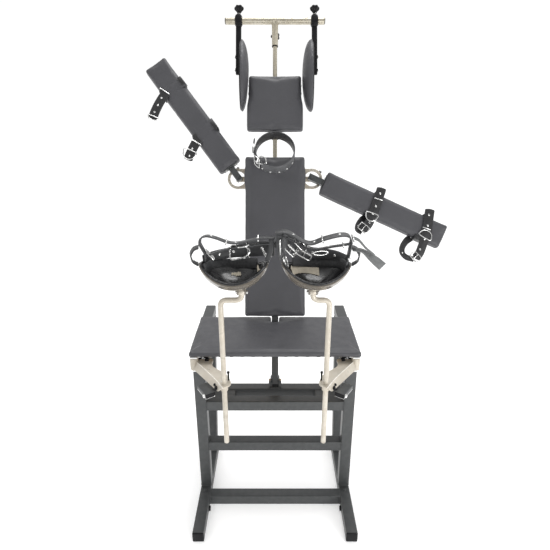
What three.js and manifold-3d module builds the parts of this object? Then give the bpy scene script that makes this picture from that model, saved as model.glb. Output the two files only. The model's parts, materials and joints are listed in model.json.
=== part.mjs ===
// Free-standing padded positioning chair: a square-tube frame with a shallow seat, a reclining
// mast with back, neck and head supports, two swinging arm boards and two swinging leg cradles.
// Millimetres, +Z up, X to the right as seen from the front, the front of the chair towards -Y.
// The origin is on the floor, under the middle of the lower cross tube.

import * as THREE from 'three';
import { mergeVertices } from 'three/addons/utils/BufferGeometryUtils.js';
import Module from 'manifold-3d';

const wasm = await Module();
wasm.setup();

// ---------- driving dimensions ----------

const GAP = 0.3;

// frame of 40 mm square tube
const TUBE = 40;
const TUBE_WALL = 2.5;
const TUBE_CORNER = 4;
const TRACK = 265;
const FLOOR_RAIL_FRONT = -173.5;
const FLOOR_RAIL_REAR = 278.5;
const UPRIGHT_Y = 52.5;
const UPRIGHT_TOP = 600;
const MIDDLE_TUBE_Z = 226;
const UPPER_FRAME_Z = 405;
const REAR_BEAM_Y = 130;
const SLOT_HALF_WIDTH = 148;
const REAR_LEG_FOOT_Y = 238;
const REAR_LEG_HEAD_Y = 358;
const SIDE_RAIL_FRONT = 3;
const SIDE_RAIL_REAR = 388;

// seat
const SEAT_WIDTH = 570;
const SEAT_FRONT = -30;
const SEAT_REAR = 244;
const SEAT_THICKNESS = 24;
const SEAT_BOARD_THICKNESS = 10;
const SEAT_CORNER = 14;
const COVER_MARGIN = 12;
const NOTCH_HALF_WIDTH = 16;
const NOTCH_FRONT = 200;

// mast: its own frame has the origin on the foot bolt, +Z up the mast and -Y to the front
const MAST_PIVOT = new THREE.Vector3(0, 133, 447);
const RECLINE = Math.atan(0.4314);
const MAST_SIDE = 25;
const MAST_WALL = 2.2;
const MAST_FOOT = -9;
const MAST_TOP = 826;
const BOLT_RADIUS = 5;
const PAD_FACE = -39.8;

const BACK_WIDTH = 228;
const BACK_BOTTOM = 247.4;
const BACK_TOP = 844.6;
const HEAD_WIDTH = 204;
const HEAD_BOTTOM = 943;
const HEAD_TOP = 1157;
const HEAD_SKIRT_WIDTH = 217;
const HEAD_SKIRT_TOP = 1062;

const SHOULDER_Z = 770;
const SHOULDER_BAR_HALF_LENGTH = 150;
const SHOULDER_BAR_HALF_HEIGHT = 10;
const SHOULDER_BAR_FRONT = 17.8;
const SHOULDER_BAR_THICKNESS = 8;
const QUADRANT_X = 143;
const QUADRANT_OUTER = 40;
const QUADRANT_INNER = 30;
const QUADRANT_THICKNESS = 5.2;
const QUADRANT_KNOB_REACH = 45;
const QUADRANT_KNOB_ANGLE = { left: 88, right: 43 };
const ARM_PIN_RADIUS = 6;
const STUB_HALF_WIDTH = 11.5;
const ARM_PIVOT_X = 140;
const RIGHT_ARM_ANGLE = -25;
const LEFT_ARM_ANGLE = 53.7;
const ARM_PAD_START = 48.3;
const ARM_PAD_LENGTH = 499.4;
const ARM_PAD_WIDTH = 95;
const ARM_PAD_THICKNESS = 40;
const ARM_PAD_Y = -4;
const STRAP_WIDTH = 36;
const STRAP_THICKNESS = 3.6;

const POST_RADIUS = 8.5;
const POST_BOTTOM = 540;
const POST_TOP = 1374;
const STEM_BOTTOM = 1289;
const T_BAR_Z = 1390.4;
const T_BAR_RADIUS = 12.8;
const T_BAR_LENGTH = 385;
const CLAMP_X = { left: 142, right: 154 };
const CLAMP_ARM_HALF_WIDTH = 10.7;
const CLAMP_ARM_BOTTOM = 1176;
const CLAMP_HEIGHT = 25;
const CLAMP_BOSS_RADIUS = 9;
const SIDE_PAD_APEX_X = 103.2;
const SIDE_PAD_HALF_HEIGHT = 141;
const SIDE_PAD_HALF_WIDTH = 85;
const SIDE_PAD_Z = 1157;
const SIDE_PAD_Y = -28;

// leg supports
const BOSS_X = 268;
const BOSS_Y = -12;
const BOSS_RADIUS = 14;
const PLATE_BOTTOM = 617;
const PLATE_THICKNESS = 4;
const FLANGE_BOTTOM = 590;
const STAY_WIDTH = 32;
const STAY_HEIGHT = 14;
const STAY_LENGTH = 60;
const STAY_X = 214.4;
const STAY_Y = -124.9;
const STAY_ANGLE = -33.3;
const ROD_X = 155;
const ROD_Y = -142.5;
const ROD_RADIUS = 8;
const ROD_CLAMP_RADIUS = 13;
const ROD_BOTTOM = 399;
const ROD_BEND_Z = 897;
const CRADLE_PIVOT_X = { left: 94, right: 107 };
const CRADLE_PIVOT_Z = 922;
const CRADLE_X = 113;
const CRADLE_CENTRE_Z = 1028;
const CRADLE_HALF = new THREE.Vector3(98, 95, 95);
const CRADLE_RIM_RADIUS = 80;
const CRADLE_RIM_Z = 928;

// ---------- materials ----------

const charcoalPaint = new THREE.MeshStandardMaterial({ color: 0x4c4e4f, roughness: 0.5, metalness: 0.5 });
const beigePaint = new THREE.MeshStandardMaterial({ color: 0xd6cab4, roughness: 0.4, metalness: 0.3 });
const upholstery = new THREE.MeshStandardMaterial({ color: 0x57575b, roughness: 0.6, metalness: 0 });
const blackLeather = new THREE.MeshStandardMaterial({ color: 0x262728, roughness: 0.5, metalness: 0 });
const blackPlastic = new THREE.MeshStandardMaterial({ color: 0x1b1b1c, roughness: 0.45, metalness: 0 });
const plywood = new THREE.MeshStandardMaterial({ color: 0xb08d5e, roughness: 0.8, metalness: 0 });
const brightSteel = new THREE.MeshStandardMaterial({ color: 0xb9babb, roughness: 0.25, metalness: 1 });
const taupeShell = new THREE.MeshStandardMaterial({ color: 0x8f8676, roughness: 0.3, metalness: 0 });

// ---------- helpers ----------

const chair = new THREE.Group();
const mast = new THREE.Group();
mast.position.copy(MAST_PIVOT);
mast.rotation.x = -RECLINE;
chair.add(mast);

const SIDES = [
  { name: 'left', sign: -1 },
  { name: 'right', sign: 1 },
];

function add(parent, name, geometry, material, x = 0, y = 0, z = 0) {
  const mesh = new THREE.Mesh(geometry, material);
  mesh.name = name;
  mesh.position.set(x, y, z);
  parent.add(mesh);
}

// closed solid for joining and cutting
function toSolid(geometry) {
  const bare = geometry.clone();
  bare.deleteAttribute('normal');
  bare.deleteAttribute('uv');
  const merged = mergeVertices(bare, 1e-4);
  const vertProperties = new Float32Array(merged.attributes.position.array);
  const triVerts = new Uint32Array(merged.index.array);
  return new wasm.Manifold(new wasm.Mesh({ numProp: 3, vertProperties, triVerts }));
}

function toGeometry(solid) {
  const mesh = solid.getMesh();
  const geometry = new THREE.BufferGeometry();
  geometry.setAttribute('position', new THREE.BufferAttribute(mesh.vertProperties, 3));
  geometry.setIndex(new THREE.BufferAttribute(mesh.triVerts, 1));
  return geometry;
}

function join(first, ...others) {
  let total = toSolid(first);
  for (const other of others) {
    total = total.add(toSolid(other));
  }
  return toGeometry(total);
}

function cut(first, ...tools) {
  let total = toSolid(first);
  for (const tool of tools) {
    total = total.subtract(toSolid(tool));
  }
  return toGeometry(total);
}

function common(first, second) {
  return toGeometry(toSolid(first).intersect(toSolid(second)));
}

// box by its lowest and highest corners
function block(x0, x1, y0, y1, z0, z1) {
  const geometry = new THREE.BoxGeometry(x1 - x0, y1 - y0, z1 - z0);
  return geometry.translate((x0 + x1) / 2, (y0 + y1) / 2, (z0 + z1) / 2);
}

function extrude(shape, depth, curveSegments = 12) {
  const geometry = new THREE.ExtrudeGeometry(shape, { depth, bevelEnabled: false, curveSegments });
  return geometry.translate(0, 0, -depth / 2);
}

// turns a shape made along Z so that it runs along X or Y
function along(axis, geometry) {
  if (axis === 'x') {
    geometry.rotateY(Math.PI / 2);
  }
  if (axis === 'y') {
    geometry.rotateX(-Math.PI / 2);
  }
  return geometry;
}

function roundedRectangle(Path, width, height, radius) {
  const x = width / 2 - radius;
  const y = height / 2 - radius;
  const path = new Path();
  path.moveTo(-x, -y - radius);
  path.absarc(x, -y, radius, -Math.PI / 2, 0);
  path.absarc(x, y, radius, 0, Math.PI / 2);
  path.absarc(-x, y, radius, Math.PI / 2, Math.PI);
  path.absarc(-x, -y, radius, Math.PI, 1.5 * Math.PI);
  return path;
}

function disc(radius, holeRadius = 0) {
  const shape = new THREE.Shape();
  shape.absarc(0, 0, radius, 0, 2 * Math.PI);
  if (holeRadius > 0) {
    const hole = new THREE.Path();
    hole.absarc(0, 0, holeRadius, 0, 2 * Math.PI);
    shape.holes.push(hole);
  }
  return shape;
}

function rod(axis, radius, length, curveSegments = 10) {
  return along(axis, extrude(disc(radius), length, curveSegments));
}

function sleeve(axis, radius, holeRadius, length) {
  return along(axis, extrude(disc(radius, holeRadius), length));
}

function boxTube(axis, width, height, wall, corner, length) {
  const shape = roundedRectangle(THREE.Shape, width, height, corner);
  shape.holes.push(roundedRectangle(THREE.Path, width - 2 * wall, height - 2 * wall, 1));
  return along(axis, extrude(shape, length, 1));
}

function ellipsoid(halfSize, columns, rows) {
  const geometry = new THREE.SphereGeometry(1, columns, rows);
  return geometry.scale(halfSize.x, halfSize.y, halfSize.z);
}

// five-lobed hand knob on a threaded stud, along +Z, with the end of the stud at z = 0
function starKnob(headRadius, headHeight, studRadius, studLength) {
  const lobes = 5;
  const lobeDepth = headRadius * 0.09;
  const pointCount = 30;
  const outline = new THREE.Shape();
  for (let i = 0; i < pointCount; i += 1) {
    const angle = (i / pointCount) * 2 * Math.PI;
    const radius = headRadius - lobeDepth + lobeDepth * Math.cos(lobes * angle);
    if (i === 0) {
      outline.moveTo(radius, 0);
    } else {
      outline.lineTo(radius * Math.cos(angle), radius * Math.sin(angle));
    }
  }
  const head = extrude(outline, headHeight);
  head.translate(0, 0, studLength + headHeight / 2);
  const stud = rod('z', studRadius, studLength + 2, 6);
  stud.translate(0, 0, studLength / 2 + 1);
  return join(head, stud);
}

// ---------- frame ----------

function addFrame() {
  const railLength = FLOOR_RAIL_REAR - FLOOR_RAIL_FRONT;
  const railCentre = (FLOOR_RAIL_REAR + FLOOR_RAIL_FRONT) / 2;
  const crossLength = 2 * (TRACK - TUBE / 2 - GAP);
  const postHeight = UPRIGHT_TOP - TUBE - 2 * GAP;
  const postCentre = (UPRIGHT_TOP + TUBE) / 2;
  const legSlope = (REAR_LEG_HEAD_Y - REAR_LEG_FOOT_Y) / (UPRIGHT_TOP - TUBE);
  const sideLength = SIDE_RAIL_REAR - SIDE_RAIL_FRONT;
  const sideCentre = (SIDE_RAIL_REAR + SIDE_RAIL_FRONT) / 2;

  function frameTube(axis, length) {
    return boxTube(axis, TUBE, TUBE, TUBE_WALL, TUBE_CORNER, length);
  }

  for (const { name, sign } of SIDES) {
    const x = sign * TRACK;
    add(chair, `${name}_floor_rail`, frameTube('y', railLength), charcoalPaint, x, railCentre, TUBE / 2);
    add(chair, `${name}_front_upright`, frameTube('z', postHeight), charcoalPaint, x, UPRIGHT_Y, postCentre);
    // the rear leg leans back and its ends are cut level
    const leg = frameTube('z', postHeight);
    leg.applyMatrix4(new THREE.Matrix4().makeShear(0, 0, 0, 0, 0, legSlope));
    const legCentre = (REAR_LEG_FOOT_Y + REAR_LEG_HEAD_Y) / 2;
    add(chair, `${name}_rear_leg`, leg, charcoalPaint, x, legCentre, postCentre);
    const railZ = UPRIGHT_TOP + TUBE / 2;
    add(chair, `${name}_side_rail`, frameTube('y', sideLength), charcoalPaint, x, sideCentre, railZ);
  }

  add(chair, 'lower_cross_tube', frameTube('x', crossLength), charcoalPaint, 0, 0, TUBE / 2);
  add(chair, 'middle_cross_tube', frameTube('x', crossLength), charcoalPaint, 0, UPRIGHT_Y, MIDDLE_TUBE_Z);
  add(chair, 'upper_cross_frame', upperCrossFrame(crossLength), charcoalPaint, 0, 0, UPPER_FRAME_Z);
}

// two cross tubes joined by a hollow block at each end, which leave a long slot between them
function upperCrossFrame(length) {
  const frontBeam = boxTube('x', TUBE, TUBE, TUBE_WALL, TUBE_CORNER, length).translate(0, UPRIGHT_Y, 0);
  const rearBeam = boxTube('x', TUBE, TUBE, TUBE_WALL, TUBE_CORNER, length).translate(0, REAR_BEAM_Y, 0);
  const half = TUBE / 2;
  const outerEnd = length / 2;
  const pieces = [];
  const pockets = [];
  const overlap = TUBE_WALL / 2;
  const y0 = UPRIGHT_Y + half - overlap;
  const y1 = REAR_BEAM_Y - half + overlap;
  const blockWall = 5;
  for (const { sign } of SIDES) {
    const x0 = Math.min(sign * SLOT_HALF_WIDTH, sign * outerEnd);
    const x1 = Math.max(sign * SLOT_HALF_WIDTH, sign * outerEnd);
    pieces.push(block(x0, x1, y0, y1, -half + TUBE_CORNER, half - TUBE_CORNER));
    pockets.push(
      block(x0 + blockWall, x1 - blockWall, y0 + blockWall, y1 - blockWall, -half, half - 2 * blockWall),
    );
  }
  return cut(join(frontBeam, rearBeam, ...pieces), ...pockets);
}

// ---------- seat ----------

function seatOutline(inset) {
  const x = SEAT_WIDTH / 2 - inset;
  const front = SEAT_FRONT + inset;
  const rear = SEAT_REAR - inset;
  const notchX = NOTCH_HALF_WIDTH + inset;
  const notchY = NOTCH_FRONT - inset;
  const corner = SEAT_CORNER;
  const shape = new THREE.Shape();
  shape.moveTo(-x + corner, front);
  shape.absarc(x - corner, front + corner, corner, -Math.PI / 2, 0);
  shape.absarc(x - corner, rear - corner, corner, 0, Math.PI / 2);
  shape.lineTo(notchX, rear);
  shape.lineTo(notchX, notchY);
  shape.lineTo(-notchX, notchY);
  shape.lineTo(-notchX, rear);
  shape.absarc(-x + corner, rear - corner, corner, Math.PI / 2, Math.PI);
  shape.absarc(-x + corner, front + corner, corner, Math.PI, 1.5 * Math.PI);
  return shape;
}

// a board let into the underside of a padded cushion
function addSeat() {
  const bottom = UPRIGHT_TOP + TUBE + GAP;
  const recess = SEAT_BOARD_THICKNESS + GAP;
  const pad = extrude(seatOutline(0), SEAT_THICKNESS, 4).translate(0, 0, SEAT_THICKNESS / 2);
  const hollow = extrude(seatOutline(COVER_MARGIN), 2 * recess, 4);
  add(chair, 'seat_pad', cut(pad, hollow), upholstery, 0, 0, bottom);
  const board = extrude(seatOutline(COVER_MARGIN + GAP), SEAT_BOARD_THICKNESS, 4);
  add(chair, 'seat_board', board, plywood, 0, 0, bottom + SEAT_BOARD_THICKNESS / 2);
}

// ---------- mast ----------

function addMastFoot() {
  const beamTop = UPPER_FRAME_Z + TUBE / 2 + GAP;
  const cheekInner = MAST_SIDE / 2 + GAP;
  const cheekOuter = cheekInner + 4;
  const baseTop = beamTop + 5;
  const cheekTop = MAST_PIVOT.z + 14;
  const baseHalfWidth = 24;
  const baseFront = REAR_BEAM_Y - 18;
  const cheekFront = baseFront + 4;
  const rear = REAR_BEAM_Y + 18;
  const base = block(-baseHalfWidth, baseHalfWidth, baseFront, rear, beamTop, baseTop);
  const leftCheek = block(-cheekOuter, -cheekInner, cheekFront, rear, baseTop - 1, cheekTop);
  const rightCheek = block(cheekInner, cheekOuter, cheekFront, rear, baseTop - 1, cheekTop);
  const bore = rod('x', BOLT_RADIUS + GAP, 60).translate(0, MAST_PIVOT.y, MAST_PIVOT.z);
  add(chair, 'mast_socket', cut(join(base, leftCheek, rightCheek), bore), charcoalPaint);

  const headStart = cheekOuter + GAP;
  const headLength = 6;
  const headRadius = 8.5;
  const shank = rod('x', BOLT_RADIUS, 2 * headStart + 2);
  const head = rod('x', headRadius, headLength, 3).translate(headStart + headLength / 2, 0, 0);
  const nut = rod('x', headRadius, headLength, 3).translate(-headStart - headLength / 2, 0, 0);
  add(chair, 'mast_pivot_bolt', join(shank, head, nut), brightSteel, 0, MAST_PIVOT.y, MAST_PIVOT.z);
}

function addMast() {
  const length = MAST_TOP - MAST_FOOT;
  const tube = boxTube('z', MAST_SIDE, MAST_SIDE, MAST_WALL, 2.5, length);
  tube.translate(0, 0, (MAST_TOP + MAST_FOOT) / 2);
  const bore = rod('x', BOLT_RADIUS + GAP, 40);
  add(mast, 'mast_tube', cut(tube, bore), charcoalPaint);

  addCushion('back', BACK_WIDTH, BACK_BOTTOM, BACK_TOP, -MAST_SIDE / 2 - GAP);
  addShoulder();
  addCollar();

  const lockKnob = along('y', starKnob(18, 14, 4, 9));
  const lockKnobZ = MAST_TOP - 20;
  add(mast, 'mast_lock_knob', lockKnob, blackPlastic, 0, MAST_SIDE / 2 + GAP, lockKnobZ);
}

// flat cushion on a board, standing in front of the mast; its lower part may be wider
function addCushion(name, width, bottom, top, rear, skirtWidth = width, skirtTop = top) {
  const boardThickness = 9;
  const half = width / 2;
  const skirtHalf = skirtWidth / 2;
  const skirt = block(-skirtHalf, skirtHalf, PAD_FACE, rear, bottom, skirtTop);
  const pad = join(block(-half, half, PAD_FACE, rear, bottom, top), skirt);
  const margin = COVER_MARGIN;
  const boardFront = rear - boardThickness;
  const hollow = block(
    -half + margin, half - margin, boardFront - GAP, rear + 1, bottom + margin, top - margin,
  );
  add(mast, `${name}_pad`, cut(pad, hollow), upholstery);
  const inset = margin + GAP;
  const board = block(-half + inset, half - inset, boardFront, rear, bottom + inset, top - inset);
  add(mast, `${name}_board`, board, plywood);
}

// cross bar behind the backrest with a ring-shaped quadrant at each end
function addShoulder() {
  const halfLength = SHOULDER_BAR_HALF_LENGTH;
  const bottom = SHOULDER_Z - SHOULDER_BAR_HALF_HEIGHT;
  const top = SHOULDER_Z + SHOULDER_BAR_HALF_HEIGHT;
  const front = SHOULDER_BAR_FRONT;
  const bar = block(-halfLength, halfLength, front, front + SHOULDER_BAR_THICKNESS, bottom, top);
  const spacerHalfWidth = 20;
  const mastFace = MAST_SIDE / 2 + GAP;
  const spacer = block(-spacerHalfWidth, spacerHalfWidth, mastFace, front + 0.5, bottom, top);
  const bores = SIDES.map(({ sign }) => {
    const bore = rod('y', ARM_PIN_RADIUS + 0.4, 40);
    return bore.translate(sign * ARM_PIVOT_X, front, SHOULDER_Z);
  });
  add(mast, 'shoulder_bar', cut(join(bar, spacer), ...bores), beigePaint);

  const knobRadius = 6;
  const knobLength = 14;
  for (const { name, sign } of SIDES) {
    const ring = sleeve('y', QUADRANT_OUTER, QUADRANT_INNER, QUADRANT_THICKNESS);
    const ringY = front - 0.4 - QUADRANT_THICKNESS / 2;
    add(mast, `${name}_quadrant`, ring, beigePaint, sign * QUADRANT_X, ringY, SHOULDER_Z);
    const angle = THREE.MathUtils.degToRad(QUADRANT_KNOB_ANGLE[name]);
    const knobX = sign * (QUADRANT_X + QUADRANT_KNOB_REACH * Math.cos(angle));
    const knobZ = SHOULDER_Z + QUADRANT_KNOB_REACH * Math.sin(angle);
    const knob = rod('y', knobRadius, knobLength);
    add(mast, `${name}_quadrant_knob`, knob, blackPlastic, knobX, front + knobLength / 2, knobZ);
  }
}

// leather collar that hangs forward and down from the top of the mast
function addCollar() {
  const halfWidth = 74;
  const halfLength = 96;
  const leather = 4;
  const height = 34;
  const tilt = THREE.MathUtils.degToRad(59.3);
  const centre = new THREE.Vector3(0, -73, 846.6);
  const shape = new THREE.Shape();
  shape.absellipse(0, 0, halfWidth, halfLength, 0, 2 * Math.PI);
  const hole = new THREE.Path();
  hole.absellipse(0, 0, halfWidth - leather, halfLength - leather, 0, 2 * Math.PI);
  shape.holes.push(hole);
  const collar = extrude(shape, height, 16).rotateX(tilt);
  add(mast, 'neck_collar', collar, blackLeather, centre.x, centre.y, centre.z);
}

// ---------- head support ----------

function addHead() {
  const postLength = POST_TOP - POST_BOTTOM;
  const post = rod('z', POST_RADIUS, postLength);
  add(mast, 'head_post', post, beigePaint, 0, 0, (POST_TOP + POST_BOTTOM) / 2);
  const headRear = -POST_RADIUS - GAP;
  addCushion('head', HEAD_WIDTH, HEAD_BOTTOM, HEAD_TOP, headRear, HEAD_SKIRT_WIDTH, HEAD_SKIRT_TOP);

  const stemLength = T_BAR_Z - STEM_BOTTOM;
  const stemRadius = 12;
  const stemKnobZ = 1346;
  const bar = rod('x', T_BAR_RADIUS, T_BAR_LENGTH, 12);
  const stem = rod('z', stemRadius, stemLength, 12).translate(0, 0, -stemLength / 2);
  const barBore = rod('x', T_BAR_RADIUS - 2, T_BAR_LENGTH + 2, 12);
  const boreLength = POST_TOP + 2 - STEM_BOTTOM + 1;
  const stemBore = rod('z', POST_RADIUS + 0.5, boreLength, 12);
  stemBore.translate(0, 0, POST_TOP + 2 - boreLength / 2 - T_BAR_Z);
  add(mast, 't_bar', cut(join(bar, stem), barBore, stemBore), beigePaint, 0, 0, T_BAR_Z);

  const stemKnob = along('y', starKnob(20, 11, 3.5, 9));
  add(mast, 'stem_knob', stemKnob, blackPlastic, 0, stemRadius + GAP, stemKnobZ);

  for (const { name, sign } of SIDES) {
    const clampX = CLAMP_X[name];
    add(mast, `${name}_clamp_arm`, clampArm(), blackPlastic, sign * clampX, 0, T_BAR_Z);
    const knob = starKnob(20, 27, 3.5, 6);
    add(mast, `${name}_clamp_knob`, knob, blackPlastic, sign * clampX, 0, T_BAR_Z + CLAMP_HEIGHT + GAP);
    const face = clampX - CLAMP_ARM_HALF_WIDTH - GAP;
    const pad = sidePad(sign, face - SIDE_PAD_APEX_X);
    add(mast, `${name}_side_pad`, pad, upholstery, sign * face, SIDE_PAD_Y, SIDE_PAD_Z);
  }
}

// clamp round the T bar with a flat arm that hangs down from it
function clampArm() {
  const bodyHalfHeight = 19;
  const body = block(-13.5, 13.5, -20, 20, -bodyHalfHeight, bodyHalfHeight);
  const bossHeight = CLAMP_HEIGHT - bodyHalfHeight;
  const boss = rod('z', CLAMP_BOSS_RADIUS, bossHeight + 2).translate(0, 0, CLAMP_HEIGHT - (bossHeight + 2) / 2);
  const halfWidth = CLAMP_ARM_HALF_WIDTH;
  const arm = block(-halfWidth, halfWidth, -6, 6, CLAMP_ARM_BOTTOM - T_BAR_Z, 1 - bodyHalfHeight);
  const bore = rod('x', T_BAR_RADIUS + GAP, 40, 12);
  return cut(join(body, boss, arm), bore);
}

// half-oval cushion with a flat outer face and a domed inner face
function sidePad(sign, depth) {
  const half = new THREE.Vector3(depth, SIDE_PAD_HALF_WIDTH, SIDE_PAD_HALF_HEIGHT);
  const whole = ellipsoid(half, 18, 12);
  const reach = 200;
  const x0 = sign > 0 ? -reach : 0;
  return common(whole, block(x0, x0 + reach, -reach, reach, -reach, reach));
}

// ---------- arm boards ----------

// strapPlaces are distances out along the arm; tabs hang from the lower edge of the board
const ARMS = {
  left: { angle: LEFT_ARM_ANGLE, straps: [225, 440], tab: { length: 112, lean: -28 } },
  right: { angle: RIGHT_ARM_ANGLE, straps: [255, 452], tab: { length: 70, lean: -8 } },
};

function addArms() {
  for (const { name, sign } of SIDES) {
    const { angle, straps, tab } = ARMS[name];
    const arm = new THREE.Group();
    arm.position.set(sign * ARM_PIVOT_X, 0, SHOULDER_Z);
    const tilt = THREE.MathUtils.degToRad(-angle);
    arm.rotation.y = sign > 0 ? tilt : Math.PI - tilt;
    mast.add(arm);
    // on the left the local Z axis points down, so the lower edge is at +Z there
    const lowerSide = -sign;
    const stub = join(
      block(-12, ARM_PAD_START - GAP, -STUB_HALF_WIDTH, STUB_HALF_WIDTH, -STUB_HALF_WIDTH, STUB_HALF_WIDTH),
      rod('y', ARM_PIN_RADIUS, 36).translate(0, 12, 0),
    );
    add(arm, `${name}_arm_stub`, stub, charcoalPaint);
    const pad = new THREE.BoxGeometry(ARM_PAD_LENGTH, ARM_PAD_THICKNESS, ARM_PAD_WIDTH);
    add(arm, `${name}_arm_pad`, pad, upholstery, ARM_PAD_START + ARM_PAD_LENGTH / 2, ARM_PAD_Y, 0);
    straps.forEach((place, index) => {
      const strap = armStrap(lowerSide, tab);
      add(arm, `${name}_arm_strap_${index + 1}`, strap, blackLeather, place, ARM_PAD_Y, 0);
    });
  }
}

// strap round the board with a loose tab
function armStrap(lowerSide, tab) {
  const gap = 0.4;
  const height = ARM_PAD_THICKNESS + 2 * gap;
  const width = ARM_PAD_WIDTH + 2 * gap;
  const shape = roundedRectangle(THREE.Shape, width + 2 * STRAP_THICKNESS, height + 2 * STRAP_THICKNESS, 4);
  shape.holes.push(roundedRectangle(THREE.Path, width, height, 0.5));
  const band = along('x', extrude(shape, STRAP_WIDTH, 2));
  const edge = width / 2 + 1;
  const tabHalfWidth = 15;
  const tabHalfThickness = 2;
  const tabBody = block(-tabHalfWidth, tabHalfWidth, -tabHalfThickness, tabHalfThickness, 0, tab.length);
  tabBody.rotateY(THREE.MathUtils.degToRad(tab.lean));
  if (lowerSide < 0) {
    tabBody.rotateX(Math.PI);
  }
  tabBody.translate(0, 0, lowerSide * edge);
  const clearance = block(-60, 60, -height / 2, height / 2, -width / 2, width / 2);
  return cut(join(band, tabBody), clearance);
}

// ---------- leg supports ----------

function addLegs() {
  for (const { name, sign } of SIDES) {
    addBracket(name, sign);
    addRod(name, sign);
    addCradle(name, sign);
  }
}

// swinging bracket: a top plate with a curved inner edge, an outer flange, the boss at its
// rear and the rod clamp at its front
function addBracket(name, sign) {
  const outline = new THREE.Shape();
  outline.moveTo(sign * 279, 2);
  outline.lineTo(sign * 156.5, -169);
  outline.lineTo(sign * 132, -147);
  outline.quadraticCurveTo(sign * 146, -100, sign * 170, -77);
  outline.quadraticCurveTo(sign * 205, -42, sign * 208, 0);
  outline.lineTo(sign * 240, 2);
  const plate = extrude(outline, PLATE_THICKNESS, 8).translate(0, 0, PLATE_BOTTOM + PLATE_THICKNESS / 2);

  const flangeHeight = PLATE_BOTTOM - FLANGE_BOTTOM;
  const flangeRear = new THREE.Vector2(sign * 268.5, -12.5);
  const flangeFront = new THREE.Vector2(sign * 187.5, -125.5);
  const sunkHeight = flangeHeight + 1;
  const sunkMiddle = FLANGE_BOTTOM + sunkHeight / 2;
  const flange = wallBetween(flangeRear, flangeFront, PLATE_THICKNESS, sunkHeight).translate(0, 0, sunkMiddle);

  const bossTop = PLATE_BOTTOM + 17;
  const boss = rod('z', BOSS_RADIUS, bossTop - FLANGE_BOTTOM, 10);
  boss.translate(sign * BOSS_X, BOSS_Y, (bossTop + FLANGE_BOTTOM) / 2);
  const clamp = rod('z', ROD_CLAMP_RADIUS, sunkHeight, 10).translate(sign * ROD_X, ROD_Y, sunkMiddle);
  const bossBore = rod('z', BOLT_RADIUS + GAP, 80).translate(sign * BOSS_X, BOSS_Y, sunkMiddle);
  const rodBore = rod('z', ROD_RADIUS + 0.4, 80).translate(sign * ROD_X, ROD_Y, sunkMiddle);
  const bracket = cut(join(plate, flange, boss, clamp), bossBore, rodBore);
  add(chair, `${name}_leg_bracket`, bracket, beigePaint);

  // short flat tube bolted below the outer edge of the bracket
  const stay = boxTube('y', STAY_WIDTH, STAY_HEIGHT, 2, 3, STAY_LENGTH);
  stay.rotateZ(sign * THREE.MathUtils.degToRad(STAY_ANGLE));
  const stayZ = FLANGE_BOTTOM - 0.5 - STAY_HEIGHT / 2;
  add(chair, `${name}_bracket_stay`, stay, charcoalPaint, sign * STAY_X, STAY_Y, stayZ);

  // pin through the boss, held by a tongue under the front of the seat
  const pinBottom = FLANGE_BOTTOM - 8;
  const pinTop = UPRIGHT_TOP + TUBE - 1;
  const pin = rod('z', BOLT_RADIUS, pinTop - pinBottom).translate(0, 0, (pinTop + pinBottom) / 2);
  const tongueRear = SIDE_RAIL_FRONT - GAP - BOSS_Y;
  const tongue = block(-12, 12, -12, tongueRear, pinTop - 4, pinTop);
  const nutHeight = 7;
  const nut = rod('z', 9, nutHeight, 3).translate(0, 0, FLANGE_BOTTOM - GAP - nutHeight / 2);
  add(chair, `${name}_bracket_pivot`, join(pin, tongue, nut), brightSteel, sign * BOSS_X, BOSS_Y, 0);

  const screw = starKnob(8, 11, 3, 6).rotateY((sign * Math.PI) / 2);
  const screwX = sign * (ROD_X + ROD_CLAMP_RADIUS + GAP);
  const screwZ = (FLANGE_BOTTOM + PLATE_BOTTOM) / 2;
  add(chair, `${name}_rod_screw`, screw, blackPlastic, screwX, ROD_Y, screwZ);
}

// upright plate between two points, centred on z = 0
function wallBetween(start, end, thickness, height) {
  const length = start.distanceTo(end);
  const middle = start.clone().add(end).multiplyScalar(0.5);
  const wall = new THREE.BoxGeometry(length, thickness, height);
  wall.rotateZ(Math.atan2(end.y - start.y, end.x - start.x));
  return wall.translate(middle.x, middle.y, 0);
}

// round rod with a step inwards near its top, which ends in an eye for the cradle
function addRod(name, sign) {
  const main = rod('z', ROD_RADIUS, ROD_BEND_Z - ROD_BOTTOM, 8);
  main.translate(sign * ROD_X, 0, (ROD_BEND_Z + ROD_BOTTOM) / 2);
  const pivotX = CRADLE_PIVOT_X[name];
  const step = rod('x', ROD_RADIUS, ROD_X - pivotX, 8);
  step.translate((sign * (ROD_X + pivotX)) / 2, 0, ROD_BEND_Z);
  const neck = rod('z', ROD_RADIUS, CRADLE_PIVOT_Z - ROD_BEND_Z, 8);
  neck.translate(sign * pivotX, 0, (CRADLE_PIVOT_Z + ROD_BEND_Z) / 2);
  const outerBend = new THREE.SphereGeometry(ROD_RADIUS, 16, 8).translate(sign * ROD_X, 0, ROD_BEND_Z);
  const innerBend = new THREE.SphereGeometry(ROD_RADIUS, 16, 8);
  innerBend.translate(sign * pivotX, 0, ROD_BEND_Z);
  const eye = rod('x', 8.2, 17, 8).translate(sign * pivotX, 0, CRADLE_PIVOT_Z);
  const whole = join(main, step, neck, outerBend, innerBend, eye);
  add(chair, `${name}_leg_rod`, whole, beigePaint, 0, ROD_Y, 0);
}

// bowl between two ellipsoids, with a rim that is higher at the sides than at the ends
function bowl(outerInset, innerInset, rimRadius) {
  const outer = ellipsoid(CRADLE_HALF.clone().subScalar(outerInset), 22, 14);
  const inner = ellipsoid(CRADLE_HALF.clone().subScalar(innerInset), 22, 14);
  const rim = rod('x', rimRadius, 300, 12).translate(0, 0, CRADLE_RIM_Z - CRADLE_CENTRE_Z);
  return cut(common(outer, rim), inner);
}

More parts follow.
